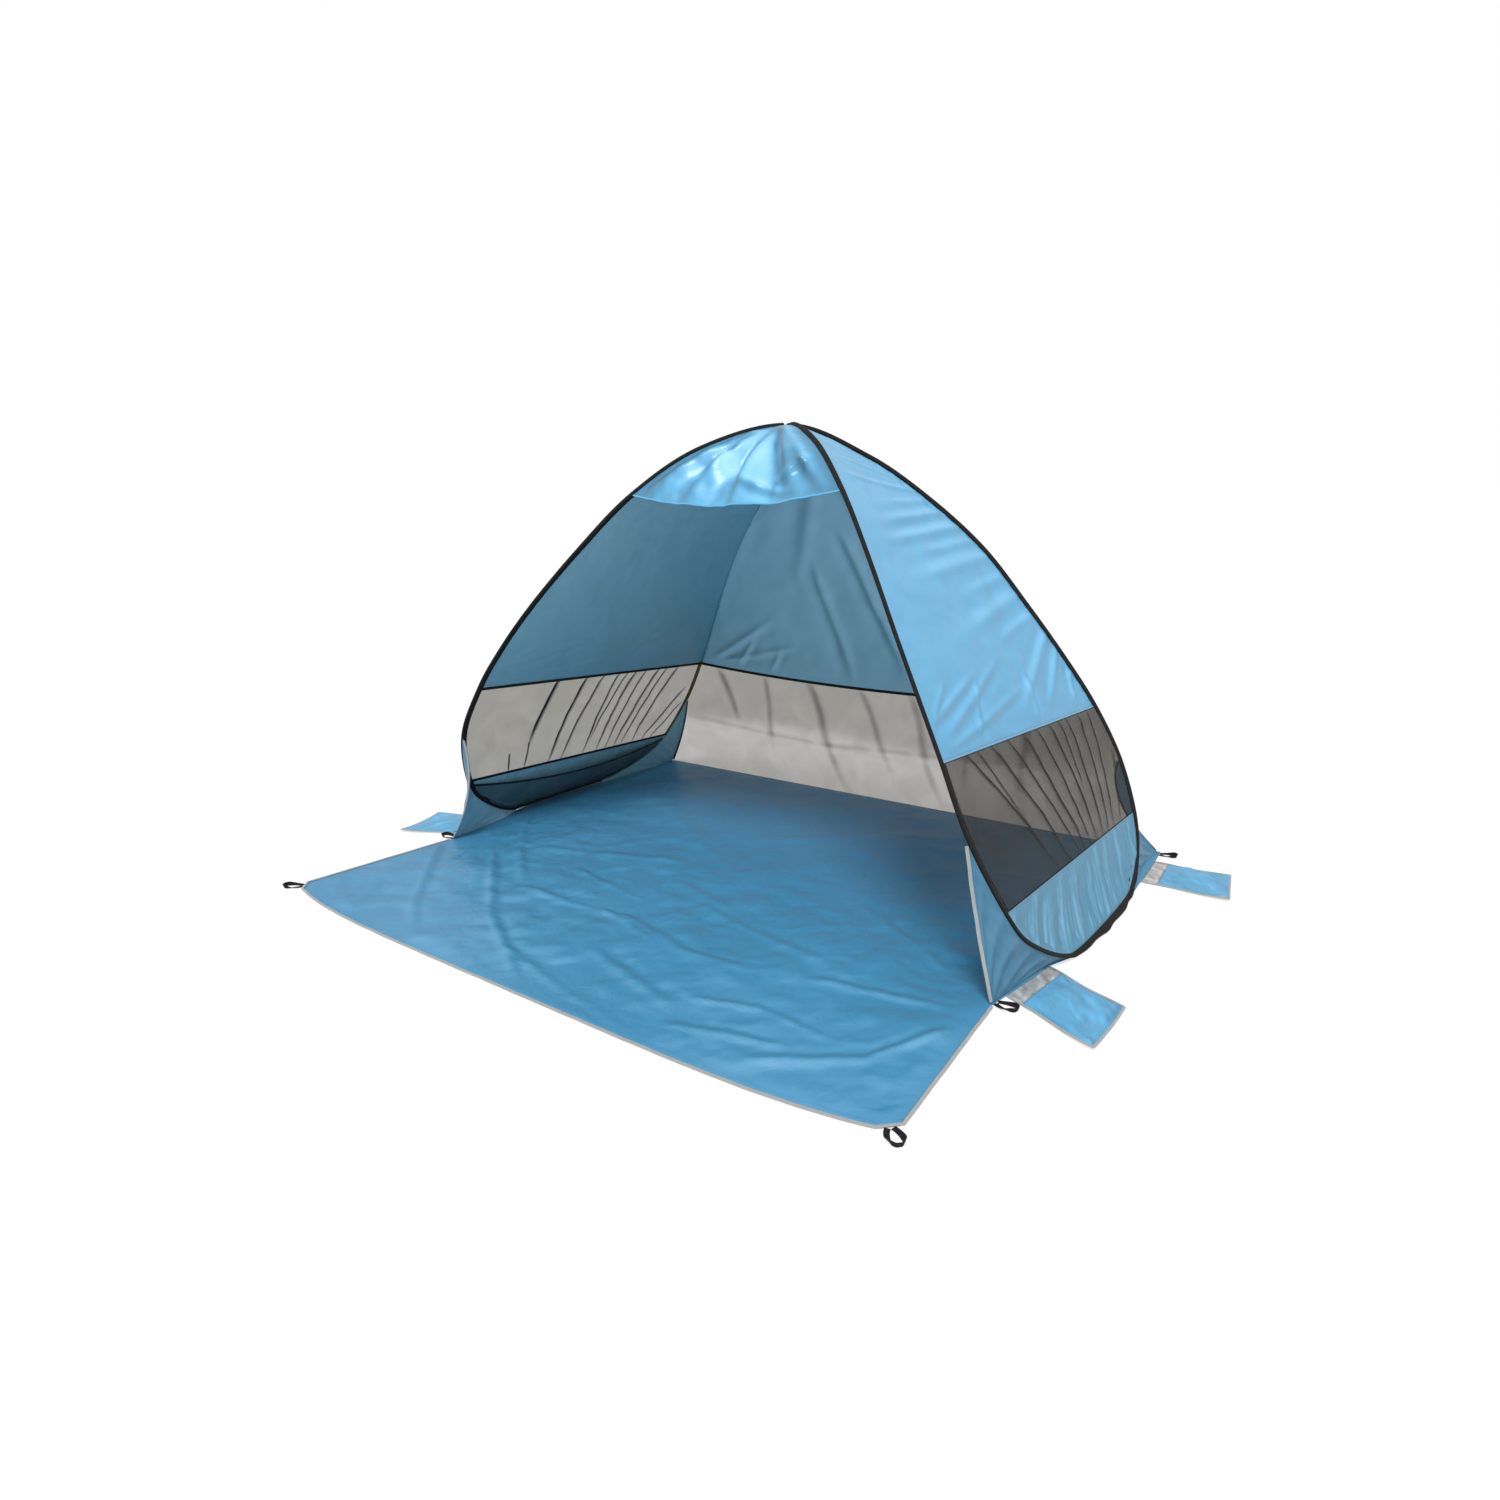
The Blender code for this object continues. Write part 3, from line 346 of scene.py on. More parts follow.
# Creases of the ground cloth: start and end on the ground, then width and height, in metres
GROUND_CREASES = [
    (-0.70, -0.60, -0.30, -0.93, 0.012, 0.0080), (-0.32, -0.91, -0.01, -1.09, 0.011, 0.0075),
    (-0.93, -0.62, -0.56, -0.98, 0.012, 0.0070), (-0.57, -0.97, -0.40, -1.09, 0.010, 0.0060),
    (-0.43, -0.74, -0.03, -0.72, 0.016, 0.0065), (-0.06, -0.71, 0.24, -0.79, 0.014, 0.0070),
    (0.20, -0.79, 0.40, -0.76, 0.010, 0.0045), (-0.14, -1.01, 0.18, -1.085, 0.010, 0.0070),
    (0.15, -1.07, 0.33, -1.11, 0.009, 0.0055), (-0.92, -0.28, -0.62, -0.57, 0.012, 0.0060),
    (-0.66, -0.53, -0.44, -0.71, 0.014, 0.0070), (-0.18, -0.69, 0.17, -0.80, 0.010, 0.0055),
    (0.38, -0.94, 0.53, -0.89, 0.010, 0.0055), (0.52, -0.89, 0.72, -0.905, 0.010, 0.0050),
    (0.80, -0.92, 0.86, -0.81, 0.010, 0.0070), (0.85, -0.83, 0.885, -0.74, 0.009, 0.0060),
    (0.42, -0.29, 0.72, -0.47, 0.014, 0.0035), (0.70, -0.46, 0.84, -0.55, 0.012, 0.0040),
    (-0.30, -0.20, 0.40, 0.35, 0.034, 0.0030), (-0.60, 0.10, 0.10, -0.38, 0.028, 0.0035),
    (-0.75, 0.40, -0.20, 0.10, 0.030, 0.0030), (0.10, 0.10, 0.80, -0.15, 0.030, 0.0030),
    (0.30, 0.50, 0.75, 0.10, 0.030, 0.0030), (-0.62, -0.50, -0.10, -0.30, 0.018, 0.0035),
    (-0.10, -0.45, 0.36, -0.58, 0.018, 0.0040), (-0.52, -0.36, -0.38, -0.66, 0.014, 0.0050),
    (-0.83, -0.50, -0.74, -0.78, 0.012, 0.0060), (-0.78, -0.45, -0.62, -0.70, 0.012, 0.0060),
    (0.05, -0.90, 0.38, -1.00, 0.014, 0.0060), (0.40, -1.05, 0.66, -0.98, 0.012, 0.0065),
    (0.62, -1.06, 0.84, -0.90, 0.016, 0.0080), (0.10, -0.55, 0.60, -0.66, 0.016, 0.0055),
    (-0.40, -0.55, 0.00, -0.62, 0.014, 0.0050), (0.55, -0.72, 0.86, -0.66, 0.012, 0.0055),
]
SIDES = {"left": -1, "right": 1}
# How far each wall's folds show; which net each window has, the left one with its inside face
# painted pale as lit thread, the right one dark on both faces; and the share by which a window's
# net hides more of the view and takes more of its dark thread colour
WALL_SLACK = {"left": 0.30, "right": 1.0}
WINDOW_NET = {"left": "net", "right": "dark_net"}
WINDOW_NET_EXTRA = {"left": 0.08, "right": 0.0}
UP = Vector((0, 0, 1))
RIGHT = Vector((1, 0, 0))


def linear(code):
    """An sRGB hex colour as a linear one with alpha."""
    channels = [int(code[place:place + 2], 16) / 255 for place in (1, 3, 5)]
    return [c / 12.92 if c <= 0.04045 else ((c + 0.055) / 1.055) ** 2.4 for c in channels] + [1.0]


class TentSizes(bpy.types.PropertyGroup):
    cloth: bpy.props.FloatProperty(
        name="Cloth thickness", description="Thickness of the walls and the ground cloth",
        default=0.0006, min=0.0002, max=0.0015, unit="LENGTH")
    fold_height: bpy.props.FloatProperty(
        name="Fold height", description="How deep the folds are, 1 as photographed",
        default=1.0, min=0.0, max=1.5, subtype="FACTOR")
    stitch_pitch: bpy.props.FloatProperty(
        name="Stitch spacing", description="From one stitch to the next",
        default=0.007, min=0.003, max=0.03, unit="LENGTH")
    stitch_radius: bpy.props.FloatProperty(
        name="Thread radius", description="Radius of the sewing thread",
        default=0.00035, min=0.0001, max=0.001, unit="LENGTH")
    net_density: bpy.props.FloatProperty(
        name="Net density", description="Share of the view that one face of the net covers",
        default=0.42, min=0.05, max=0.8, subtype="FACTOR")


def colour_property(name, description, code):
    return bpy.props.FloatVectorProperty(
        name=name, description=description, default=linear(code), size=4, min=0.0, max=1.0,
        subtype="COLOR")


class TentColours(bpy.types.PropertyGroup):
    sky: colour_property("Sky taffeta", "Outer face of the walls and the hood", "#68B6E2")
    # The lining is the coating's own blue, painted paler for the daylight that shines through the
    # cloth
    lining: colour_property("Coated inside", "Coated inner face of the walls", "#96C8D8")
    # Painted shade: the lower walls' colour is the walls' own blue drawn darker
    shaded: colour_property("Lower walls", "Gathered cloth below the windows", "#4F8EAD")
    gusset: colour_property("Gussets", "Thin cloth of the corner gussets", "#4581A1")
    ground: colour_property("Ground cloth", "Floor and apron", "#4793BD")
    # Both net colours are one black thread: the inside one is painted pale and warm, as lit thread
    net: colour_property("Net outside", "Thread of the windows, seen from outside", "#302E29")
    net_inside: colour_property("Net inside", "Thread of the windows in the shade", "#C29C58")
    pocket_net: colour_property("Pocket net", "Thread of the storage pocket", "#5C7880")
    webbing: colour_property("Webbing", "Hoop sleeves, tapes and loops", "#1D1B1A")
    piping: colour_property("Piping", "Binding tape on free edges", "#B0B3B1")
    silver: colour_property("Silver backing", "Silver side of the pocket cloth", "#CAC7C2")
    wire: colour_property("Spring wire", "Galvanised spring steel", "#A9ABAE")


class TentStage(bpy.types.PropertyGroup):
    floor: colour_property("Floor", "Floor and surroundings of the picture", "#F4F4F4")
    sky_strength: bpy.props.FloatProperty(
        name="Sky light", description="Strength of the light from all round",
        default=0.56, min=0.0, max=3.0)
    sun_strength: bpy.props.FloatProperty(
        name="Key light", description="Strength of the soft light from the upper right",
        default=1.85, min=0.0, max=10.0)


# Geometry of the hoops

def spline(points, index, share):
    """Catmull-Rom point between points[index] and points[index + 1]."""
    p0, p1, p2, p3 = (points[index + step] for step in (-1, 0, 1, 2))
    cubic = 3 * (p1 - p2) + p3 - p0
    square = 2 * p0 - 5 * p1 + 4 * p2 - p3
    return p1 + 0.5 * share * ((p2 - p0) + share * (square + share * cubic))


def rod_point(row, reach):
    """Point of the right petal from its row of shares; reach is negative for the front rod."""
    across, along, up = row
    height = SEAT_HEIGHT + up * (APEX_HEIGHT - SEAT_HEIGHT)
    return Vector((across * HOOP_HALF_WIDTH, along * reach, height))


def mirrored(point):
    return Vector((-point.x, point.y, point.z))


def turned_to(side, point):
    return point if side > 0 else mirrored(point)


def shares(count):
    """Evenly spaced shares from 0 to 1."""
    return [step / count for step in range(count + 1)]


def unevenness(place, seed, layer=0):
    """Smooth noise between -1 and 1 along a line."""
    return noise.noise(Vector((place, seed, layer)))


def petal_points():
    """The right petal's guide points: apex, front rod, base, rear rod, apex."""
    front = [rod_point(row[0], -HOOP_FRONT_REACH) for row in PETAL_SHARES]
    rear = [rod_point(row[1], HOOP_REAR_REACH) for row in PETAL_SHARES]
    base = Vector((HOOP_HALF_WIDTH, -HOOP_BASE_OFFSET, SEAT_HEIGHT))
    loop = front + [base] + rear[::-1]
    return [mirrored(rear[1])] + loop + [mirrored(front[1])]


GUIDE = petal_points()
PATH_END = len(GUIDE) - 3


@functools.lru_cache(maxsize=None)
def hoop(path):
    """Point on the right petal at a path value, in guide points from the apex."""
    index = min(int(path), PATH_END - 1)
    point = spline(GUIDE, index + 1, path - index)
    point.z = max(point.z, SEAT_HEIGHT)
    return point


def rod_path(rod, row):
    return row if rod == "front" else PATH_END - row


def tangent(path):
    step = 0.01
    return (hoop(min(path + step, PATH_END)) - hoop(max(path - step, 0))).normalized()


def square_to(direction, axis):
    """The part of a direction that is square to an axis, at unit length."""
    return (direction - direction.dot(axis) * axis).normalized()


def spanned(edge, row, share):
    """A point between the rods of a petal, on the surface that an edge line goes round."""
    point = edge(row).lerp(edge(PATH_END - row), share)
    if row > WINDOW_BOTTOM_ROW:
        base = edge(BOTTOM_ROW + share * 2)
        flat = edge(BOTTOM_ROW).lerp(edge(BOTTOM_ROW + 2), share)
        blend = (row - WINDOW_BOTTOM_ROW) / (BOTTOM_ROW - WINDOW_BOTTOM_ROW)
        point += (base - flat) * blend ** 2
    return point


@functools.lru_cache(maxsize=None)
def petal_frame(path):
    """Centre, inward direction, side direction and welt width of the sleeve at a path value."""
    row = min(path, PATH_END - path)
    centre = hoop(path)
    least, most = WELT_AIM_SHARES
    share = min(max((path - BOTTOM_ROW) / 2, least), most)
    target = spanned(hoop, min(row, BOTTOM_ROW - WELT_AIM_RISE), share)
    along = tangent(path)
    inward = square_to(target - centre, along)
    welt = min(SLEEVE_WELT, WIDEST_WELT_SHARE * (hoop(row) - hoop(PATH_END - row)).length)
    return centre, inward, along.cross(inward), welt


def petal_normal():
    """Outward direction of the right hoop at its window."""
    top, low = WINDOW_TOP_ROW, WINDOW_BOTTOM_ROW
    one, two = hoop(PATH_END - low) - hoop(top), hoop(low) - hoop(PATH_END - top)
    normal = one.cross(two).normalized()
    return normal if normal.x > 0 else -normal


WALL_OUT = petal_normal()


@functools.lru_cache(maxsize=None)
def inner_meeting(path):
    """Where the cloths on both sides of a rod meet, on the tent's side of the sleeve."""
    centre, inward, _, _ = petal_frame(path)
    away = square_to(-RIGHT, tangent(path))
    middle = (inward + away).normalized()
    return centre + middle * (SLEEVE_RADIUS + SLEEVE_COVER)


@functools.lru_cache(maxsize=None)
def wall_edge(path):
    """Edge of a side wall's cloth: over the welt's outer face in front, inside it behind."""
    centre, inward, sideways, _ = petal_frame(path)
    outer = sideways if sideways.dot(WALL_OUT) > 0 else -sideways
    over = centre + inward * (SLEEVE_RADIUS * WALL_SEAT_SHARE) + outer * WELT_COVER
    turn = (path - COVER_TURN_START) / (COVER_TURN_END - COVER_TURN_START)
    return over.lerp(inner_meeting(path), min(max(turn, 0.0), 1.0))


@functools.lru_cache(maxsize=None)
def sleeve_side(rod, row, sideways):
    """Edge of a cloth that leaves a rod's sleeve towards a point."""
    path = rod_path(rod, row)
    away = square_to(Vector(sideways) - hoop(path), tangent(path))
    return hoop(path) + away * (SLEEVE_RADIUS * CLOTH_SEAT_SHARE)


def wall_point(row, share):
    """A point of the right side wall: row from the apex down, share from front to rear."""
    return spanned(wall_edge, row, share)


def side_out(along):
    """Half width of the floor at a place along its depth."""
    table = [(share * HALF_DEPTH, out * FLOOR_HALF_WIDTH) for share, out in FLOOR_SIDE_SHARES]
    for (y0, x0), (y1, x1) in zip(table[:-1], table[1:]):
        if along <= y1:
            return x0 + (x1 - x0) * (along - y0) / (y1 - y0)
    return table[-1][1]


def floor_edge(along):
    return Vector((side_out(along) - GUSSET_INSET, along, FLOOR_TOP))


BACK_LINE = HALF_DEPTH - SILL_INSET
BACK_FOOT = floor_edge(BACK_LINE) - RIGHT * BACK_CORNER_GAP


@functools.lru_cache(maxsize=None)
def back_edge(label, level):
    """An edge of the back wall, as on the right; past LEAVE_ROW it bows to the floor corner."""
    row = min(level, LEAVE_ROW)
    down = level - row
    bow = RIGHT * (-BACK_CORNER_BOW[label] * 4 * down * (1 - down))
    return inner_meeting(PATH_END - row).lerp(BACK_FOOT, down) + bow


def back_point(level, share):
    """A point of the back wall: level from the apex down, share from left to right."""
    point = mirrored(back_edge("left", level)).lerp(back_edge("right", level), share)
    if level <= WINDOW_TOP_ROW:
        hang = (level / WINDOW_TOP_ROW) ** 4
    else:
        hang = (LEAVE_ROW + 1 - level) / (LEAVE_ROW + 1 - WINDOW_TOP_ROW)
    point.z -= BACK_SEAM_SAG * hang * 4 * share * (1 - share)
    return point


# Cloth: a panel is a grid of points with each point's place on the flat cut

class Panel:
    """A stretch of cloth at rest: its points, and their places on the flat cut in metres."""

    def __init__(self, place, columns, rows):
        across = np.linspace(0.0, 1.0, columns + 1).tolist()
        down = np.linspace(0.0, 1.0, rows + 1).tolist()
        self.points = np.array([[place(u, v) for u in across] for v in down])
        steps = np.linalg.norm(np.diff(self.points, axis=1), axis=2)
        run = np.concatenate([np.zeros((rows + 1, 1)), np.cumsum(steps, axis=1)], axis=1)
        self.x = run - run[:, -1:] / 2
        middle = self.points[:, columns // 2]
        fall = np.linalg.norm(np.diff(middle, axis=0), axis=1)
        depth = np.concatenate([[0.0], np.cumsum(fall)])
        self.y = np.repeat(depth[:, None], columns + 1, axis=1)
        self.u, self.v = np.meshgrid(across, down)
        self.columns, self.rows = columns, rows

    def at(self, u, v):
        """Place on the flat cut of a point given as shares."""
        row = min(max(round(v * self.rows), 0), self.rows)
        column = min(max(round(u * self.columns), 0), self.columns)
        return self.x[row, column], self.y[row, column]

    def flat_size(self):
        """Width, length and area of the flat cut."""
        p = self.points
        one, two = p[1:, 1:] - p[:-1, :-1], p[1:, :-1] - p[:-1, 1:]
        area = float(np.linalg.norm(np.cross(one, two), axis=2).sum() / 2)
        width = float((self.x[:, -1] - self.x[:, 0]).max())
        sides = np.linalg.norm(np.diff(p, axis=0), axis=2).sum(axis=0)
        length = float(max(sides.max(), self.y.max()))
        if area < 0.4 * width * length:
            # A triangle: its sides lean, so its height comes from its area.
            length = 2 * area / width
        return width, max(length, area / width), area

    def pinned(self, margin):
        """0 on the panel's edges and 1 from a margin inwards, rising smoothly."""
        sides = np.minimum(self.x - self.x[:, :1], self.x[:, -1:] - self.x)
        ends = np.minimum(self.y, self.y.max() - self.y)
        near = np.clip(np.minimum(sides, ends) / margin, 0.0, 1.0)
        return near * near * (3 - 2 * near)


def folds_relief(panel, folds):
    """Height of folds on a panel: each a ridge with a shallow trough beside it."""
    relief = np.zeros_like(panel.x)
    for u0, v0, u1, v1, width, depth in folds:
        (ax, ay), (bx, by) = panel.at(u0, v0), panel.at(u1, v1)
        relief += ridge(panel.x, panel.y, (ax, ay, bx, by), width, depth)
    return relief


def ridge(x, y, ends, width, depth):
    """Height of one ridge along a line, fading in at its start and out at its end."""
    ax, ay, bx, by = ends
    length = math.hypot(bx - ax, by - ay)
    tx, ty = (bx - ax) / length, (by - ay) / length
    along = ((x - ax) * tx + (y - ay) * ty) / length
    off = (y - ay) * tx - (x - ax) * ty
    fade = np.clip(along * FOLD_FADE_IN[0] + FOLD_FADE_IN[1], 0, 1)
    fade = fade * np.clip((1 - along) * FOLD_FADE_OUT[0] + FOLD_FADE_OUT[1], 0, 1)
    beside = (off - TROUGH_PLACE * width) / (TROUGH_WIDTH * width)
    return depth * fade * (np.exp(-(off / width) ** 2) - TROUGH_DEPTH * np.exp(-beside ** 2))


def over_cut(panel, value):
    """A value for each point of a panel, from its place on the flat cut."""
    values = [value(x, y) for x, y in zip(panel.x.ravel(), panel.y.ravel())]
    return np.array(values).reshape(panel.x.shape)


def crumple(panel, grain, depth, seed):
    """Soft irregular relief with a given grain."""
    return depth * over_cut(panel, lambda x, y: noise.fractal(
        Vector((x / grain + seed, y / grain, seed)), 1.0, 2.0, 3))


def edge_puckers(panel, pitch, reach, depth, seed):
    """Small gathers along both side edges, where the cloth is sewn into the sleeves."""
    shuffle = random.Random(seed)
    relief = np.zeros_like(panel.x)
    for edge in (0, -1):
        distance = np.abs(panel.x - panel.x[:, edge:][:, :1])
        root = np.clip(distance / PUCKER_ROOT, 0, 1)
        place = pitch
        while place < panel.y.max():
            size = depth * shuffle.uniform(*PUCKER_HEIGHTS)
            width = pitch * shuffle.uniform(*PUCKER_WIDTHS)
            length = reach * shuffle.uniform(*PUCKER_LENGTHS)
            bump = np.exp(-((panel.y - place - distance * PUCKER_LEAN) / width) ** 2)
            relief += size * bump * np.exp(-distance / length) * root
            place += pitch * shuffle.uniform(*PUCKER_STEPS)
    return relief


def fold_gleam(panel, relief, towards, gain):
    """Share by which folds look lighter on the side that faces the light."""
    across = np.gradient(relief, axis=1) / np.maximum(np.gradient(panel.x, axis=1), 1e-4)
    down = np.gradient(relief, axis=0) / np.maximum(np.gradient(panel.y, axis=0), 1e-4)
    return np.clip(gain * (across * towards[0] + down * towards[1]), *GLEAM_RANGE)


def grid_mesh(name, points, uvs, out):
    """An open mesh over a grid of points, with its faces turned the way of out."""
    mesh = bpy.data.meshes.new(name)
    index = np.arange(points.shape[0] * points.shape[1]).reshape(points.shape[:2])
    quads = np.stack(
        [index[:-1, :-1], index[:-1, 1:], index[1:, 1:], index[1:, :-1]], axis=-1)
    one = points[1:, 1:] - points[:-1, :-1]
    two = points[1:, :-1] - points[:-1, 1:]
    facing = (np.cross(one, two).sum(axis=(0, 1)) * np.array(out)).sum()
    if facing < 0:
        quads = quads[..., ::-1]
    mesh.from_pydata(points.reshape(-1, 3).tolist(), [], quads.reshape(-1, 4).tolist())
    layer = mesh.uv_layers.new(name="cut")
    flat = uvs.reshape(-1, 2)
    corners = np.zeros(len(mesh.loops), dtype=np.int32)
    mesh.loops.foreach_get("vertex_index", corners)
    layer.data.foreach_set("uv", flat[corners].astype(np.float32).ravel())
    mesh.shade_smooth()
    return mesh


def add_piece(name, mesh, materials, slot, body, nodes=()):
    """Put a finished mesh in the scene, with its finish, its body and what it stands for."""
    obj = bpy.data.objects.new(name, mesh)
    bpy.context.scene.collection.objects.link(obj)
    for material in materials:
        mesh.materials.append(material)
    if body:
        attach(obj, body)
    if nodes:
        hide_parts(*nodes)
    return obj


def cloth_piece(name, panel, relief, out, finish, side=1, body="tent", nodes=(),
                dense=None, thickness=None, gleam=(0.7, 0.7, 0.8), shade=0.0):
    """A sheet of cloth from a panel and the height of its folds.

    gleam says how much light the folds get from across and from down, and its gain; shade is
    painted light and shade added to it, as a share of the colour.
    """
    materials, slot = finish
    sizes = bpy.context.scene.beach_tent_sizes
    out = np.array(out)
    points = panel.points + (relief * sizes.fold_height)[..., None] * out
    if side < 0:
        points = points * np.array([-1, 1, 1])
        out = out * np.array([-1, 1, 1])
    facing = out if out.ndim == 1 else out.mean(axis=(0, 1))
    mesh = grid_mesh(name, points, np.stack([panel.x, panel.y], axis=-1), facing)
    shades = {"gleam": fold_gleam(panel, relief, gleam[:2], gleam[2]) + shade}
    if dense is not None:
        shades["pleat"] = dense
    for field, values in shades.items():
        layer = mesh.attributes.new(field, "FLOAT", "POINT")
        layer.data.foreach_set("value", np.asarray(values, np.float32).ravel())
    obj = add_piece(name, mesh, materials, slot, body, nodes)
    skin = obj.modifiers.new("cloth thickness", "SOLIDIFY")
    skin.thickness = thickness or sizes.cloth
    skin.offset = 0
    skin.use_even_offset = False
    skin.material_offset = len(materials) - 1
    width, length, area = panel.flat_size()
    return obj


def tube_mesh(name, rings, runs, around, sharp):
    """A capped tube through rings of points, its cut unrolled: runs along it, around across."""
    shape = bmesh.new()
    layer = shape.loops.layers.uv.new("cut")
    rings = [[shape.verts.new(point) for point in ring] for ring in rings]
    total = len(rings[0])
    for ring, onward, near, far in zip(rings[:-1], rings[1:], runs[:-1], runs[1:]):
        for step in range(total):
            after = (step + 1) % total
            face = shape.faces.new((ring[step], ring[after], onward[after], onward[step]))
            places = ((near, step), (near, step + 1), (far, step + 1), (far, step))
            for loop, (along, turn) in zip(face.loops, places):
                loop[layer].uv = (along, around[turn])
    shape.faces.new(rings[0][::-1])
    shape.faces.new(rings[-1])
    bmesh.ops.recalc_face_normals(shape, faces=shape.faces)
    mesh = bpy.data.meshes.new(name)
    shape.to_mesh(mesh)
    shape.free()
    mesh.shade_smooth()
    mesh.set_sharp_from_angle(angle=sharp)
    return mesh


def ribbon(name, path, across, width, thickness, finish, body="tent", nodes=()):
    """A flat tape along points, with rounded edges; across gives its width direction."""
    half, thin = width / 2, thickness / 2
    upper = [(half, TAPE_EDGE_SHARE * thin), (TAPE_SHOULDER_SHARE * half, thin)]
    upper += [(-x, y) for x, y in reversed(upper)]
    section = upper + [(x, -y) for x, y in reversed(upper)]
    rings, runs = [], [0.0]
    for place, point in enumerate(path):
        along = (path[min(place + 1, len(path) - 1)] - path[max(place - 1, 0)]).normalized()
        wide = square_to(across[place], along)
        thick = along.cross(wide)
        rings.append([point + wide * x + thick * y for x, y in section])
    for ring, onward in zip(rings[:-1], rings[1:]):
        runs.append(runs[-1] + (onward[0] - ring[0]).length)
    around = [x for x, _ in section + section[:1]]
    materials, slot = finish
    add_piece(name, tube_mesh(name, rings, runs, around, TAPE_SHARP), materials, slot, body, nodes)


# Materials

def add_node(tree, kind, settings=(), inputs=()):
    """Add a node, set its options, and fill or link its inputs by name or number."""
    node = tree.nodes.new(kind)
    for name, value in dict(settings).items():
        setattr(node, name, value)
    for key, value in dict(inputs).items():
        if isinstance(value, bpy.types.NodeSocket):
            tree.links.new(value, node.inputs[key])
        else:
            node.inputs[key].default_value = value
    return node


def wave_scale(pitch):
    """Scale of a Wave Texture whose bands repeat at a pitch in metres."""
    return 2 * math.pi / (20 * pitch)


def new_material(name):
    """A node material with only its output, and its tree."""
    material = bpy.data.materials.new(name)
    material.use_nodes = True
    tree = material.node_tree
    tree.nodes.clear()
    return material, tree


def cut_material(name):
    """A material with its pattern on the piece's flat cut: itself, its tree and the place."""
    material, tree = new_material(name)
    return material, tree, add_node(tree, "ShaderNodeUVMap", {"uv_map": "cut"}).outputs[0]


def finished(material, settings, relief=()):
    """The material, with a principled shader of the given inputs over layers of relief.

    Each layer of relief is a height, a strength and a distance, the broadest first.
    """
    tree = material.node_tree
    normal = {}
    for height, strength, distance in relief:
        bump = add_node(
            tree, "ShaderNodeBump",
            inputs={"Strength": strength, "Distance": distance, "Height": height, **normal})
        normal = {"Normal": bump.outputs[0]}
    shader = add_node(tree, "ShaderNodeBsdfPrincipled", inputs={**settings, **normal})
    add_node(tree, "ShaderNodeOutputMaterial", inputs={"Surface": shader.outputs[0]})
    return material


def weave_height(tree, place, pitch):
    """Height of a plain weave: two sets of threads at a pitch, square to each other."""
    sets = []
    for direction in ("X", "Y"):
        wave = add_node(
            tree, "ShaderNodeTexWave", {"bands_direction": direction, "wave_profile": "SIN"},
            {"Vector": place, "Scale": wave_scale(pitch)})
        sets.append(wave.outputs["Fac"])
    product = add_node(tree, "ShaderNodeMath", {"operation": "MULTIPLY"}, {0: sets[0], 1: sets[1]})
    return product.outputs[0]


def varied_colour(tree, place, colour, scale, amount):
    """A colour that drifts a little darker and lighter over a surface."""
    drift = add_node(
        tree, "ShaderNodeTexNoise", inputs={"Vector": place, "Scale": scale, "Detail": 3.0})
    shade = add_node(
        tree, "ShaderNodeMapRange",
        inputs={"Value": drift.outputs["Fac"], "From Min": 0.3, "From Max": 0.7,
                "To Min": 1 - amount, "To Max": 1 + amount})
    tinted = add_node(
        tree, "ShaderNodeVectorMath", {"operation": "SCALE"},
        {0: tuple(colour)[:3], "Scale": shade.outputs[0]})
    return tinted.outputs[0]


def gleaming(tree, colour):
    """A colour made lighter or darker by the cloth's own fold shade."""
    shade = add_node(tree, "ShaderNodeAttribute", {"attribute_name": "gleam"})
    factor = add_node(
        tree, "ShaderNodeMath", {"operation": "ADD"}, {0: shade.outputs["Fac"], 1: 1.0})
    tinted = add_node(
        tree, "ShaderNodeVectorMath", {"operation": "SCALE"},
        {0: colour, "Scale": factor.outputs[0]})
    glint = add_node(
        tree, "ShaderNodeMath", {"operation": "MULTIPLY", "use_clamp": True},
        {0: shade.outputs["Fac"], 1: GLINT_SHARE})
    paled = add_node(
        tree, "ShaderNodeMix", {"data_type": "VECTOR"},
        {"Factor": glint.outputs[0], 4: tinted.outputs[0], 5: GLINT_COLOUR})
    return paled.outputs[1]


def taffeta(name, colour, roughness, sheen, wrinkle):
    """Coated polyester taffeta: a fine plain weave with a satin glow and small soft wrinkles."""
    material, tree, place = cut_material(name)
    # Real threads are 0.1 mm apart. They are drawn 1.6 mm apart, so that a close view shows them.
    weave = weave_height(tree, place, 0.0016)
    # Packing leaves sharp creases about 220 mm apart, and handling leaves rumples of about 40 mm.
    stretched = add_node(
        tree, "ShaderNodeVectorMath", {"operation": "MULTIPLY"}, {0: place, 1: (1.0, 2.2, 1.0)})
    creases = add_node(
        tree, "ShaderNodeTexNoise", {"noise_type": "RIDGED_MULTIFRACTAL"},
        {"Vector": stretched.outputs[0], "Scale": 4.5, "Detail": 3.0, "Roughness": 0.45,
         "Distortion": 0.8})
    soft = add_node(
        tree, "ShaderNodeTexNoise",
        inputs={"Vector": place, "Scale": 26.0, "Detail": 2.0, "Distortion": 1.2})
    return finished(material, {
        "Base Color": gleaming(tree, varied_colour(tree, place, colour, 3.0, 0.035)),
        "Roughness": roughness, "Specular IOR Level": 0.5, "Sheen Weight": sheen,
        "Sheen Roughness": 0.4,
    }, [(creases.outputs["Fac"], wrinkle, 0.010), (soft.outputs["Fac"], wrinkle, 0.004),
        (weave, 0.25, 0.0003)])


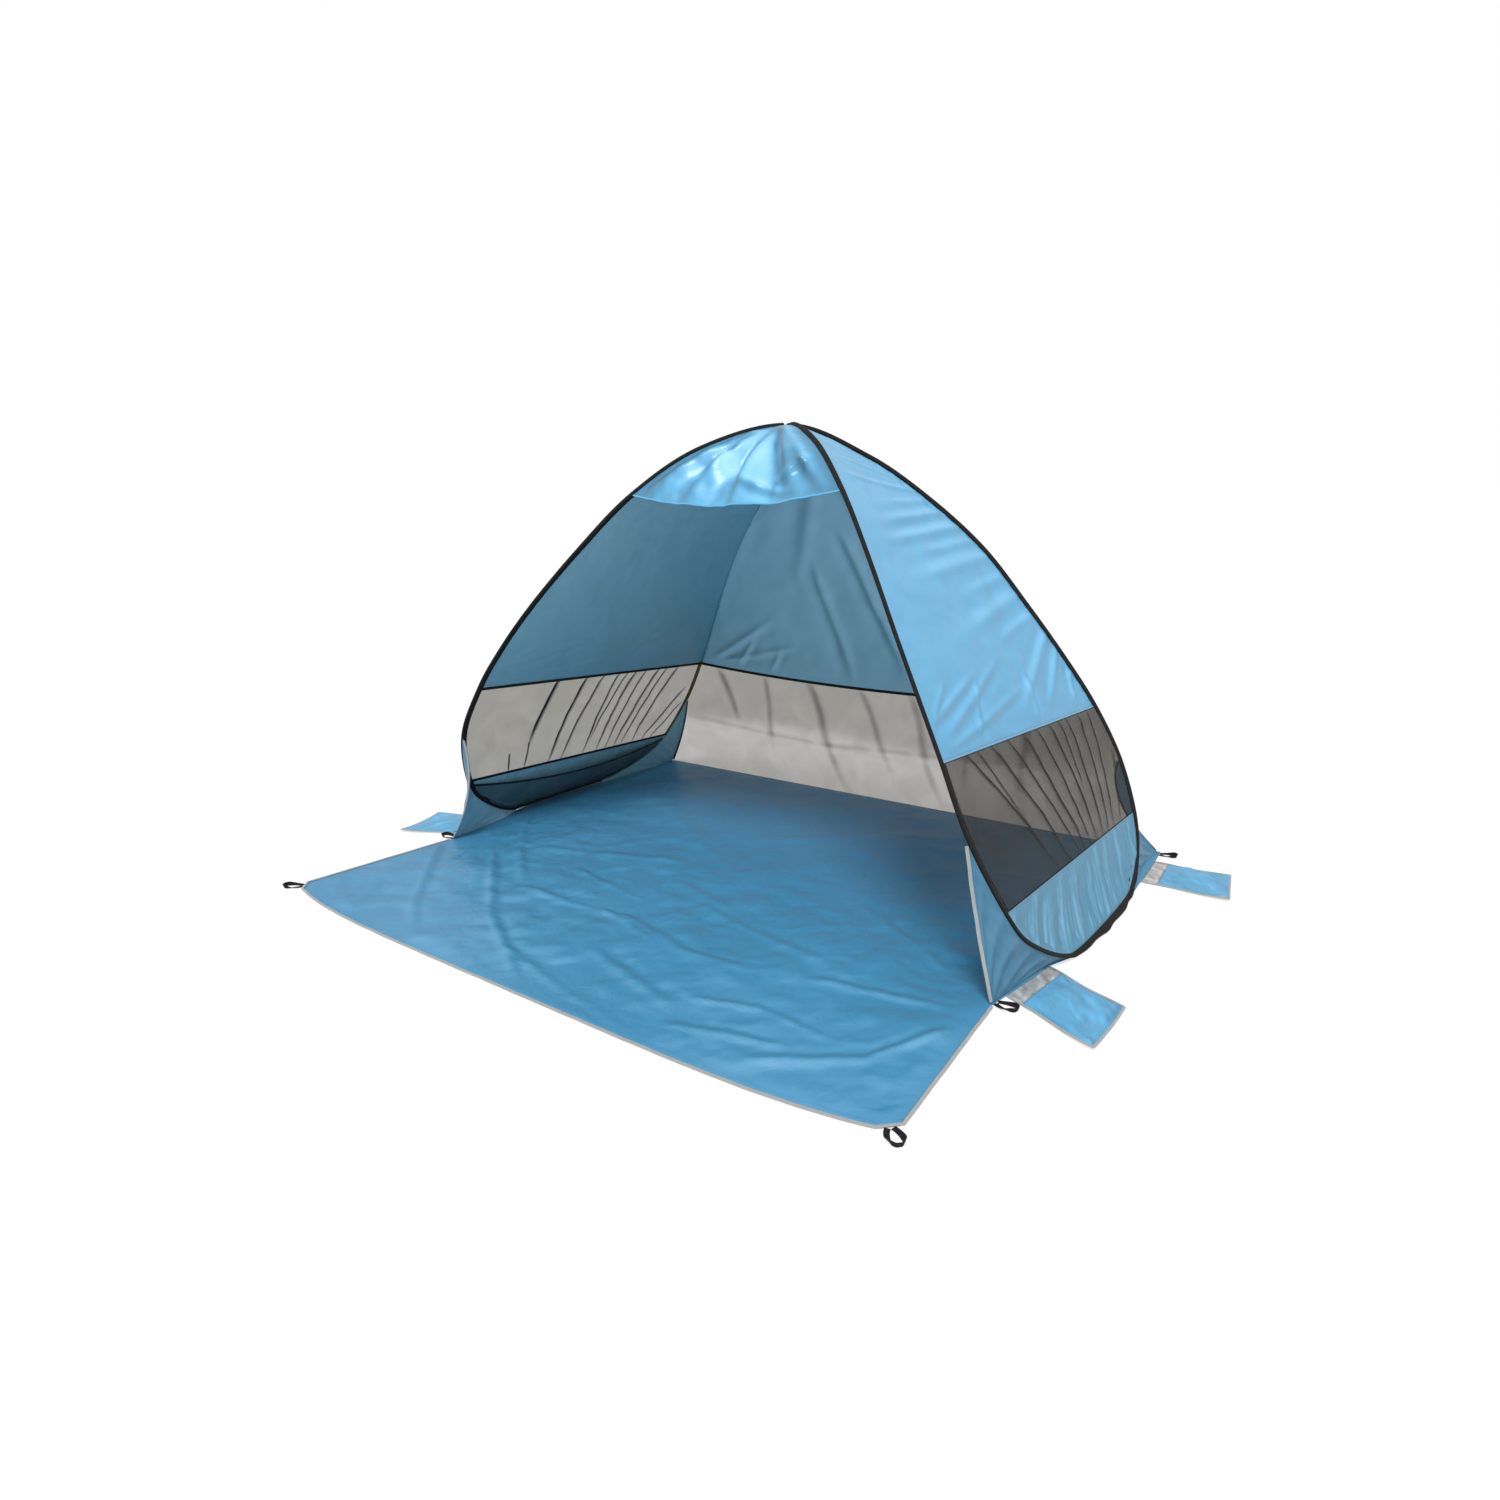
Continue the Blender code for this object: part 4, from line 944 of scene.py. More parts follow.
def net(name, colour, fold_colour, pleat_density, density=None):
    """Fine polyester mosquito net: thin dark thread that lets most of the view through."""
    density = density or bpy.context.scene.beach_tent_sizes.net_density
    fold_colour = getattr(bpy.context.scene.beach_tent_colours, fold_colour)
    material, tree, place = cut_material(name)
    # Real holes are 1 mm. They are drawn 3 mm wide, the finest that shows from a step away.
    holes = weave_height(tree, place, 0.003)
    uneven = add_node(
        tree, "ShaderNodeTexNoise",
        inputs={"Vector": place, "Scale": 9.0, "Detail": 3.0, "Distortion": 0.8})
    grain = add_node(
        tree, "ShaderNodeMapRange",
        inputs={"Value": holes, "To Min": density * 1.06, "To Max": density * 0.94})
    clouded = add_node(
        tree, "ShaderNodeMath", {"operation": "MULTIPLY_ADD"},
        {0: uneven.outputs["Fac"], 1: 0.14, 2: -0.07})
    base = add_node(
        tree, "ShaderNodeMath", {"operation": "ADD"}, {0: grain.outputs[0], 1: clouded.outputs[0]})
    # A pleat lays the net double, so it hides more and shows the thread's own colour.
    pleat = add_node(tree, "ShaderNodeAttribute", {"attribute_name": "pleat"}).outputs["Fac"]
    doubled = add_node(
        tree, "ShaderNodeMath", {"operation": "MULTIPLY_ADD", "use_clamp": True},
        {0: pleat, 1: pleat_density, 2: base.outputs[0]})
    folded = add_node(
        tree, "ShaderNodeMath", {"operation": "MULTIPLY", "use_clamp": True}, {0: pleat, 1: 3.0})
    tone = add_node(
        tree, "ShaderNodeMix", {"data_type": "VECTOR"},
        {"Factor": folded.outputs[0], 4: varied_colour(tree, place, colour, 6.0, 0.08),
         5: tuple(fold_colour)[:3]})
    return finished(material, {
        "Base Color": tone.outputs[1], "Roughness": 0.7, "Specular IOR Level": 0.3,
        "Alpha": doubled.outputs[0],
    }, [(holes, 0.1, 0.0004)])


def webbing(name, colour, rib, roughness, fade):
    """Woven polyester webbing: ribs across its length, a dull sheen and pale lint on the ribs."""
    material, tree, place = cut_material(name)
    # Lint lies in tufts of about 15 mm, and the tape rumples every 30 mm or so.
    ribs = add_node(
        tree, "ShaderNodeTexWave", {"bands_direction": "X"},
        {"Vector": place, "Scale": wave_scale(rib), "Distortion": 0.4, "Detail": 1.0})
    lint = add_node(
        tree, "ShaderNodeTexNoise", inputs={"Vector": place, "Scale": 60.0, "Detail": 4.0})
    rumple = add_node(
        tree, "ShaderNodeTexNoise", inputs={"Vector": place, "Scale": 34.0, "Detail": 2.0})
    worn = add_node(
        tree, "ShaderNodeMapRange",
        inputs={"Value": lint.outputs["Fac"], "From Min": 0.35, "From Max": 0.75,
                "To Min": 1 - fade * 0.3, "To Max": 1 + fade})
    tone = add_node(
        tree, "ShaderNodeVectorMath", {"operation": "SCALE"},
        {0: tuple(colour)[:3], "Scale": worn.outputs[0]})
    return finished(material, {
        "Base Color": tone.outputs[0], "Roughness": roughness, "Specular IOR Level": 0.22,
        "Sheen Weight": 0.02, "Sheen Roughness": 0.5,
    }, [(rumple.outputs["Fac"], 0.5, 0.002), (ribs.outputs["Fac"], 0.5, 0.0005)])


def silver_cloth(name, colour):
    """Silver-coated side of the pocket cloth: a thin metal film, crinkled by folding."""
    material, tree, place = cut_material(name)
    # The film breaks into facets about 20 mm wide.
    crinkle = add_node(
        tree, "ShaderNodeTexVoronoi", {"feature": "F1"},
        {"Vector": place, "Scale": 55.0, "Randomness": 1.0})
    soft = add_node(
        tree, "ShaderNodeTexNoise",
        inputs={"Vector": place, "Scale": 45.0, "Detail": 3.0, "Distortion": 1.0})
    return finished(material, {
        "Base Color": gleaming(tree, varied_colour(tree, place, colour, 20.0, 0.10)),
        "Metallic": 0.35, "Roughness": 0.32,
    }, [(crinkle.outputs["Distance"], 0.55, 0.004), (soft.outputs["Fac"], 0.6, 0.003)])


def spring_steel(name, colour):
    """Galvanised spring steel wire: drawn smooth, with a dull zinc grain."""
    material, tree = new_material(name)
    place = add_node(tree, "ShaderNodeTexCoord").outputs["Object"]
    # The zinc's spangles are about 2.5 mm wide.
    grain = add_node(
        tree, "ShaderNodeTexNoise", inputs={"Vector": place, "Scale": 400.0, "Detail": 2.0})
    dull = add_node(
        tree, "ShaderNodeMapRange",
        inputs={"Value": grain.outputs["Fac"], "To Min": 0.25, "To Max": 0.5})
    return finished(material, {
        "Base Color": tuple(colour), "Metallic": 1.0, "Roughness": dull.outputs[0]})


def tie_webbing(name, colour):
    """Black webbing without a cut of its own: its ribs follow the tie's height."""
    material, tree = new_material(name)
    place = add_node(tree, "ShaderNodeTexCoord").outputs["Object"]
    ribs = add_node(
        tree, "ShaderNodeTexWave", {"bands_direction": "Y"},
        {"Vector": place, "Scale": wave_scale(0.002)})
    settings = {"Base Color": tuple(colour), "Roughness": 0.6}
    return finished(material, settings, [(ribs.outputs["Fac"], 0.5, 0.0005)])


# Each material: the function that makes it, its colour's name, then that function's other values
MATERIALS = {
    # Clear blue with a soft glow, and on the coated inner face a dull blue, painted paler for the
    # daylight that shines through the cloth
    "sky_taffeta": (taffeta, "sky", 0.36, 0.10, 0.35),
    "coated_taffeta_inside": (taffeta, "lining", 0.55, 0.0, 0.22),
    # The same blue with the sharper shine of stretched satin
    "satin_taffeta": (taffeta, "sky", 0.24, 0.10, 0.22),
    # Deeper blue that glistens on its many creases
    "coated_ground_taffeta": (taffeta, "ground", 0.36, 0.05, 0.45),
    # Thin and creased, in a darker blue without much glow
    "thin_gusset_taffeta": (taffeta, "gusset", 0.45, 0.05, 0.40),
    "thin_gusset_taffeta_inside": (taffeta, "lining", 0.50, 0.0, 0.40),
    # The walls' blue painted darker all over, as shade on the gathered lower walls
    "gathered_taffeta": (taffeta, "shaded", 0.45, 0.05, 0.30),
    "gathered_taffeta_inside": (taffeta, "lining", 0.55, 0.0, 0.22),
    # Clear blue and almost smooth
    "pocket_taffeta": (taffeta, "sky", 0.36, 0.10, 0.16),
    # One black thread: a thin dark veil from outside, and a copy painted pale and warm, as lit
    # thread, for the inner face
    "mosquito_net": (net, "net", "net", 0.62),
    "mosquito_net_inside": (net, "net_inside", "net", 0.62),
    # A closer, bluish veil
    "storage_pocket_net": (net, "pocket_net", "pocket_net", 0.3, 0.52),
    # Dull black with fine ribs, and light grey with finer ones
    "woven_webbing": (webbing, "webbing", 0.0022, 0.75, 0.35),
    "piping_tape": (webbing, "piping", 0.0016, 0.6, 0.08),
    # A soft broken mirror
    "silver_backing": (silver_cloth, "silver"),
    # Twisted thread with a slight sheen
    "sewing_thread": (webbing, "piping", 0.001, 0.6, 0.1),
    "black_thread": (webbing, "webbing", 0.001, 0.5, 0.3),
    # Bluish bright metal, a little blurred
    "galvanised_wire": (spring_steel, "wire"),
    # Plain black with ribs
    "tie_webbing": (tie_webbing, "webbing"),
}
# Each kind of surface: its slot, its outer material and any other for its inner face
FINISHES = {
    "wall": ("sky_cloth", "sky_taffeta", "coated_taffeta_inside"),
    "hood": ("sky_cloth", "satin_taffeta"),
    "ground": ("floor_cloth", "coated_ground_taffeta"),
    "gusset": ("sky_cloth", "thin_gusset_taffeta", "thin_gusset_taffeta_inside"),
    "lower_wall": ("sky_cloth", "gathered_taffeta", "gathered_taffeta_inside"),
    "pocket": ("sky_cloth", "pocket_taffeta"),
    "net": ("net", "mosquito_net", "mosquito_net_inside"),
    "dark_net": ("net", "mosquito_net"),
    "pocket_net": ("net", "storage_pocket_net"),
    "webbing": ("webbing", "woven_webbing"),
    "piping": ("piping", "piping_tape"),
    "silver": ("silver_cloth", "silver_backing"),
    "thread": ("piping", "sewing_thread"),
    "dark_thread": ("webbing", "black_thread"),
}


@functools.lru_cache(maxsize=None)
def material_of(name):
    """A material by its name, made once."""
    make, colour, *numbers = MATERIALS[name]
    return make(name, getattr(bpy.context.scene.beach_tent_colours, colour), *numbers)


def finish_of(kind):
    """Materials and slot of a kind of surface."""
    slot, *names = FINISHES[kind]
    return tuple(material_of(name) for name in names), slot


# Sleeves and the wire

def sleeve_section(welt, bulk):
    """Half section of a sleeve from its outer side to the welt's edge: inward, half thickness."""
    radius, shown = SLEEVE_RADIUS, welt * SHOWN_WELT_SHARE
    outer = [(-radius * bulk * math.cos(turn), radius * bulk * math.sin(turn) * SLEEVE_FLATNESS)
             for turn in (math.pi * step / 16 for step in range(0, 10))]
    shoulder = [(radius * share, half) for share, half in SLEEVE_SHOULDER]
    return outer + shoulder + [(radius + shown * share, half) for share, half in WELT_SECTION]


def sleeve_ring(path, run, side):
    """Points round a sleeve at a path value, run metres along the hoop."""
    centre, inward, sideways, welt = petal_frame(path)
    lump = 1 + SLEEVE_LUMPS * unevenness(run * LUMPS_PER_METRE, side * 3.0)
    wander = WELT_WANDER * unevenness(run * WANDERS_PER_METRE, side * 5.0, 2)
    # The sleeve hangs loose round the outside of the hoop where it meets the ground.
    slack = SLEEVE_SLACK * math.exp(-((path - SLACK_MIDDLE) / SLACK_REACH) ** 2)
    slack *= 1 + SLACK_LUMPS * unevenness(run * SLACK_LUMPS_PER_METRE, side * 7.0, 4)
    aside = square_to(RIGHT, tangent(path)) * slack
    # The welt tapers away where the wall's cloth crosses from its outer to its inner side.
    crossing = (2 * path - COVER_TURN_START - COVER_TURN_END) / CROSSING_SPAN
    welt *= 1 - CROSSING_TAPER * math.exp(-crossing ** 4)
    # At the apex the ends of the sleeves bunch up.
    bulk = 1 + APEX_BULK * math.exp(-(min(path, PATH_END - path) / APEX_BULK_ROWS) ** 2)
    half = sleeve_section(welt, bulk)
    ring = []
    for x, h in half + [(x, -h) for x, h in reversed(half[1:])]:
        spread = x * (lump if x > 0 else 1.0) + (wander if x > SLEEVE_RADIUS * 2 else 0.0)
        point = centre + inward * spread + sideways * h + aside * max(-x / SLEEVE_RADIUS, 0)
        point.z = max(point.z, FLOOR_TOP + GAP)
        ring.append(turned_to(side, point))
    return ring


def hoop_sleeve(label, side):
    """Black webbing folded round the wire, with the flat welt that carries the walls."""
    count = (PATH_END - 2) * STEPS_PER_ROW
    paths = [MOUTH_ROW + (PATH_END - 2 * MOUTH_ROW) * share for share in shares(count)]
    run, rings, runs = 0.0, [], []
    for before, path in zip(paths[:1] + paths, paths):
        run += (hoop(path) - hoop(before)).length
        rings.append(sleeve_ring(path, run, side))
        runs.append(run)
    total = len(rings[0])
    girth = (SLEEVE_WELT + 2 * SLEEVE_RADIUS) * 2 / total
    around = [girth * step for step in range(total + 1)]
    name = label + "_sleeve_webbing"
    mesh = tube_mesh(name, rings, runs, around, SLEEVE_SHARP)
    add_piece(name, mesh, *finish_of("webbing"), "tent", [label + "_hoop_sleeve"])


def dress_nodes():
    """Give the wire, its ferrule and the apex tie their finishes."""
    finishes = {
        "spring_wire": "galvanised_wire", "wire_ferrule": "galvanised_wire",
        "apex_tie": "tie_webbing",
    }
    for node, name in finishes.items():
        materials = frame["nodes"][node].data.materials
        materials.clear()
        materials.append(material_of(name))


# Side walls

def wall_panel(first, last, columns, rows):
    return Panel(lambda u, v: wall_point(first + (last - first) * v, u), columns, rows)


def upper_wall(label, side):
    """Blue upper wall: stretched smooth, with soft folds off the rear rod and the lower corners."""
    panel = wall_panel(MOUTH_ROW, WINDOW_TOP_ROW, columns=110, rows=150)
    slack = WALL_SLACK[label]
    relief = slack * folds_relief(panel, UPPER_WALL_FOLDS)
    relief += crumple(panel, grain=0.16, depth=0.0050, seed=3.0 + side)
    relief -= WALL_HOLLOW * np.sin(math.pi * panel.u) * np.sin(math.pi * panel.v)
    relief = relief * panel.pinned(0.035)
    relief += edge_puckers(panel, pitch=0.034, reach=0.022, depth=0.0022, seed=11 + side)
    cloth_piece(
        label + "_upper_wall_cloth", panel, relief, WALL_OUT, finish_of("wall"), side,
        nodes=[label + "_upper_wall"],
        gleam=(0.35, 0.9, 0.42 * slack), shade=0.10 - 0.24 * panel.v ** 2)


def side_window(label, side):
    """Net window: pleats fan from its top edge and crowd towards the lower rear."""
    panel = wall_panel(WINDOW_TOP_ROW, WINDOW_BOTTOM_ROW, columns=400, rows=100)
    dark = np.zeros_like(panel.x)
    for u0, v0, u1, v1, width, _ in WINDOW_PLEATS[label]:
        ends = panel.at(u0, v0) + panel.at(u1, v1)
        dark += np.clip(ridge(panel.x, panel.y, ends, width * PLEAT_SHADE_SHARE, 1.0), 0, 1)
    relief = folds_relief(panel, WINDOW_PLEATS[label])
    relief += crumple(panel, grain=0.12, depth=0.004, seed=7.0 + side)
    cloth_piece(
        label + "_window_net", panel, relief * panel.pinned(0.02), WALL_OUT,
        finish_of(WINDOW_NET[label]), side, nodes=[label + "_window"],
        dense=np.clip(dark + WINDOW_NET_EXTRA[label], 0, 1))


def lower_wall(label, side):
    """Blue lower wall: gathered finely into the sleeve below."""
    panel = wall_panel(WINDOW_BOTTOM_ROW, BOTTOM_ROW, columns=260, rows=44)
    gathers = GATHER_HEIGHT * noise_bands(panel, pitch=0.013, seed=21.0 + side)
    relief = gathers * (0.35 + 0.65 * panel.v)
    relief += BROAD_GATHER_HEIGHT * noise_bands(panel, pitch=0.045, seed=25.0 + side)
    relief += crumple(panel, grain=0.10, depth=0.004, seed=5.0)
    relief = relief * panel.pinned(0.012)
    # Over the welt the cloth can only rise.
    relief -= np.minimum(relief, 0) * (1 - panel.pinned(0.034) ** 3)
    relief += WELT_LIFT * panel.pinned(0.006)
    cloth_piece(
        label + "_lower_wall_cloth", panel, relief, WALL_OUT,
        finish_of("lower_wall"), side, nodes=[label + "_lower_wall"],
        gleam=(0.8, 0.3, 0.9))


def noise_bands(panel, pitch, seed):
    """Uneven upright gathers about a pitch apart, fanning a little."""
    return over_cut(panel, lambda x, y: noise.noise(
        Vector(((x + 0.4 * y) / pitch, y / (pitch * 9), seed))))


def seam_tapes(names, node, seam, down, out, kind):
    """A black tape inside a seam, and a narrow hem of the wall's own cloth outside it."""
    inside = out * -(TAPE_THICKNESS / 2 + TAPE_STAND_OFF)
    outside = out * (TAPE_THICKNESS / 2 + HEM_STAND_OFF)
    outer_faces, slot = finish_of(kind)
    ribbon(
        names[0], [point + inside for point in seam], down, TAPE_WIDTH, TAPE_THICKNESS,
        finish_of("webbing"), nodes=[node])
    ribbon(
        names[1], [point + outside for point in seam], down, HEM_WIDTH, TAPE_THICKNESS,
        (outer_faces[:1], slot))


def window_seams(label, side):
    """Tapes and hems along both edges of a side window."""
    seams = (
        (WINDOW_TOP_ROW, "window_top_tape", "wall"),
        (WINDOW_BOTTOM_ROW, "window_bottom_tape", "lower_wall"),
    )
    for row, part, kind in seams:
        seam, down = [], []
        for share in shares(SEAM_STEPS):
            above, below = (
                wall_point(row + step, share) for step in (-SEAM_SLOPE_STEP, SEAM_SLOPE_STEP))
            seam.append(turned_to(side, wall_point(row, share)))
            down.append(turned_to(side, below - above))
        name = f"{label}_{part}"
        seam_tapes(
            (name + "_webbing", name + "_outer_hem"), name, seam, down,
            turned_to(side, WALL_OUT), kind)


# Back wall, hood and gussets

def back_wall():
    """Blue back wall with long folds that run down from the apex, over a net window."""
    first, last = HOOD_START, WINDOW_TOP_ROW
    panel = Panel(
        lambda u, v: back_point(first + (last - first) * v, u), columns=170, rows=130)
    relief = folds_relief(panel, BACK_WALL_FOLDS)
    relief += crumple(panel, grain=0.22, depth=0.006, seed=13.0)
    relief = relief * panel.pinned(0.05)
    relief += edge_puckers(panel, pitch=0.04, reach=0.02, depth=0.0018, seed=17)
    cloth_piece(
        "back_upper_wall_cloth", panel, -relief, (0, 1, 0.35), finish_of("wall"),
        nodes=["back_upper_wall"], gleam=(0.8, 0.5, 1.35), shade=0.17)
    panel = Panel(lambda u, v: back_point(WINDOW_TOP_ROW + 2 * v, u), columns=300, rows=80)
    pleats = folds_relief(panel, BACK_NET_FOLDS)
    relief = pleats + crumple(panel, grain=0.16, depth=0.006, seed=19.0)
    # Painted shade and light: the mask slack marks the net above a wavy line near its foot, where
    # it hides more of the view and takes more of its dark thread colour; all over it hides a little
    # less, so it is lighter below the line.
    line = BACK_NET_SHADE_LINE + BACK_NET_SHADE_WAVE * np.sin(panel.x * BACK_NET_SHADE_WAVE_RATE)
    slack = 1 / (1 + np.exp((panel.v - line) / BACK_NET_SHADE_EDGE))
    dark = BACK_PLEAT_SHARE * np.clip(pleats / BACK_PLEAT_HEIGHT, 0, 1)
    dark += BACK_NET_SHADED_SHARE * slack - BACK_NET_LIT_SHARE
    cloth_piece(
        "back_window_net", panel, relief * panel.pinned(0.03), (0, 1, 0), finish_of("net"),
        nodes=["back_window"], dense=dark)
    seam = [back_point(WINDOW_TOP_ROW, share) for share in shares(BACK_SEAM_STEPS)]
    seam_tapes(
        ("back_window_tape_webbing", "back_window_outer_hem"), "back_window_tape", seam,
        [-UP] * len(seam), Vector((0, 1, 0)), "wall")


def hood_point(row, share):
    """A point of the hood: row from the apex down, share from left to right."""
    rod = hoop(row)
    right = sleeve_side("front", row, tuple(mirrored(rod)))
    down = row / HOOD_ROW
    forward = Vector((0, -math.cos(HOOD_ANGLE), -math.sin(HOOD_ANGLE)))
    arch = HOOD_CROWN * 4 * share * (1 - share) * down ** 1.5
    return mirrored(right).lerp(right, share) + forward * arch


def front_hood():
    """Sun visor between the front rods: slack satin with folds that fan from the apex."""
    first = HOOD_START
    panel = Panel(
        lambda u, v: hood_point(first + (HOOD_ROW - first) * v, u), columns=150, rows=80)
    outward = (0, -math.sin(HOOD_ANGLE), math.cos(HOOD_ANGLE))
    relief = folds_relief(panel, HOOD_FOLDS) + crumple(panel, grain=0.12, depth=0.0065, seed=23.0)
    relief *= np.clip(np.minimum(panel.u, 1 - panel.u) * HOOD_SIDE_PIN, 0, 1)
    relief *= np.clip(panel.v * HOOD_TOP_PIN, 0, 1)
    cloth_piece(
        "front_hood_cloth", panel, relief, outward, finish_of("hood"), nodes=["front_hood"],
        gleam=(-0.8, 0.6, 0.85),
        shade=-0.45 * (2 * panel.u - 1) ** 2)
    lift = np.array(outward) * bpy.context.scene.beach_tent_sizes.fold_height
    seam = [Vector(point) for point in panel.points[-1] + relief[-1][:, None] * lift]
    upward = [Vector(a) - Vector(b) for a, b in zip(panel.points[-4], panel.points[-1])]
    ribbon("front_hood_hem", seam, upward, HEM_WIDTH, HOOD_HEM_THICKNESS, finish_of("hood"))


def gusset_line(rod, corner, row):
    """A line of a gusset from its rod down to the floor's edge."""
    path = rod_path(rod, row)
    share = (row - LEAVE_ROW) / (BOTTOM_ROW - LEAVE_ROW)
    foot = floor_edge(corner + (hoop(path).y - corner) * share)
    if rod == "front":
        return sleeve_side(rod, row, tuple(foot)), foot
    top = inner_meeting(path)
    foot.x += (top.x - SLEEVE_COVER - foot.x) * share ** 2
    return top, foot


def gusset_point(rod, corner, bow, u, v):
    """A point of a gusset: v from the free edge to the rod's foot, u from the rod down."""
    top, foot = gusset_line(rod, corner, LEAVE_ROW + (BOTTOM_ROW - LEAVE_ROW) * v)
    return top.lerp(foot, u) + GUSSET_BOW_WAY[rod] * (bow * 4 * u * (1 - u) * (1 - v) ** 2)


def gussets(label, side):
    """Triangles of thin cloth from the front and rear rods to the floor's corners."""
    ends = (
        ("front", SILL_INSET - HALF_DEPTH, GUSSET_EDGE_BOW[label], 0.09, 29.0),
        ("rear", BACK_LINE, BACK_CORNER_BOW[label], 0.07, 31.0),
    )
    for rod, corner, bow, grain, seed in ends:
        place = functools.partial(gusset_point, rod, corner, bow)
        panel = Panel(place, columns=90, rows=60)
        relief = GUSSET_FOLD_SHARE * folds_relief(panel, GUSSET_FOLDS)
        relief += crumple(panel, grain, depth=0.004, seed=seed)
        cloth_piece(
            f"{label}_{rod}_gusset_cloth", panel, relief * panel.pinned(0.02),
            gusset_normal(panel), finish_of("gusset"), side, nodes=[f"{label}_{rod}_gusset"],
            gleam=(0.7, 0.7, 0.3))


def gusset_normal(panel):
    """Outward direction of a gusset."""
    p = panel.points
    normal = Vector(np.cross(p[0, -1] - p[0, 0], p[-1, -1] - p[0, 0])).normalized()
    return normal if normal.x > 0 else -normal


def edge_tapes(label, side):
    """Grey binding folded over the front gusset's free edge, and black piping at the back."""
    first, last = GUSSET_BINDING_SPAN
    points, across = [], []
    for step in shares(40):
        share = first + (last - first) * step
        edge, inner = (
            gusset_point("front", SILL_INSET - HALF_DEPTH, GUSSET_EDGE_BOW[label], share, v)
            for v in (0.0, GUSSET_BINDING_LEAN))
        wave = GUSSET_BINDING_WAVE * unevenness(share * GUSSET_BINDING_WAVES, side * 2.0)
        points.append(turned_to(side, edge + Vector((wave, -GUSSET_BINDING_THICKNESS / 2, 0))))
        across.append(turned_to(side, inner - edge))
    ribbon(
        label + "_gusset_binding", points, across, GUSSET_BINDING_WIDTH,
        GUSSET_BINDING_THICKNESS, finish_of("piping"), nodes=[label + "_gusset_piping"])
    first, last = BACK_PIPING_SPAN
    points = []
    for step in shares(30):
        down = first + (last - first) * step
        edge = gusset_point("rear", BACK_LINE, BACK_CORNER_BOW[label], down, 0.0)
        points.append(turned_to(side, (edge + back_edge(label, LEAVE_ROW + down)) / 2))
    ribbon(
        label + "_back_corner_webbing", points, [RIGHT] * len(points), BACK_PIPING_WIDTH,
        BACK_PIPING_THICKNESS, finish_of("webbing"), nodes=[label + "_back_corner_piping"])


# Net pocket

def net_pocket_point(u, v):
    """Inner face of the net pocket: sewn to the wall at its sides and foot, open at the top."""
    row_length = (hoop(BOTTOM_ROW - 1) - hoop(WINDOW_BOTTOM_ROW)).length
    across = 4 * u * (1 - u)
    top = WINDOW_BOTTOM_ROW + NET_DROP + NET_POCKET_SAG / row_length * across
    row = top + (BOTTOM_ROW - top) * v
    side = NET_SIDE_SHARE * (1 - v)
    share = side + (1 - 2 * side) * u
    stand_off = NET_POCKET_STAND_OFF + NET_POCKET_BELLY * across * (1 - v ** 2)
    return wall_point(row, share) - WALL_OUT * stand_off


def net_pocket():
    """Storage pocket of dark net inside the left wall, with a black hem along its mouth."""
    panel = Panel(net_pocket_point, columns=140, rows=34)
    relief = crumple(panel, grain=0.09, depth=0.005, seed=37.0) * panel.pinned(0.03)
    cloth_piece(
        "left_net_pocket_net", panel, relief, WALL_OUT, finish_of("pocket_net"), SIDES["left"],
        nodes=["left_net_pocket"],
        dense=np.zeros_like(panel.x))
    mouth = [mirrored(Vector(point)) for point in panel.points[0]]
    down = [mirrored(Vector(a - b)) for a, b in zip(panel.points[3], panel.points[0])]
    ribbon(
        "left_net_pocket_binding", mouth, down, NET_POCKET_HEM_WIDTH, NET_POCKET_HEM_THICKNESS,
        finish_of("webbing"), nodes=["left_net_pocket_hem"])


# Ground cloth

def apron_side(share):
    """Half width of the apron, from 0 at the sill to 1 at the cut corner."""
    return side_out(-HALF_DEPTH) + (APRON_HALF_WIDTH - side_out(-HALF_DEPTH)) * share


def ground_front(x):
    """Front edge of the apron across its width."""
    tip = -HALF_DEPTH - APRON_DEPTH
    beyond = abs(x) - APRON_FRONT_HALF
    if beyond <= 0:
        return tip - APRON_BOW * (1 - (abs(x) / APRON_FRONT_HALF) ** APRON_BOW_POWER)
    return tip + beyond


def ground_half_width(y):
    """Half width of the whole ground cloth at a place along its depth."""
    if y >= -HALF_DEPTH:
        return side_out(y)
    return apron_side(min((-HALF_DEPTH - y) / (APRON_DEPTH - APRON_CORNER_CUT), 1.0))


def ground_point(u, v):
    """A point of the ground cloth: u from left to right, v from the back to the apron's front."""
    share = 2 * u - 1
    outer = -HALF_DEPTH - APRON_DEPTH + APRON_CORNER_CUT
    line = HALF_DEPTH + (outer - HALF_DEPTH) * v
    x = share * ground_half_width(line)
    reach = ground_front(x) - outer
    y = line + reach * max((v - FRONT_REACH_START) / (1 - FRONT_REACH_START), 0.0) ** 2
    return Vector((x, y, FLOOR_TOP / 2))


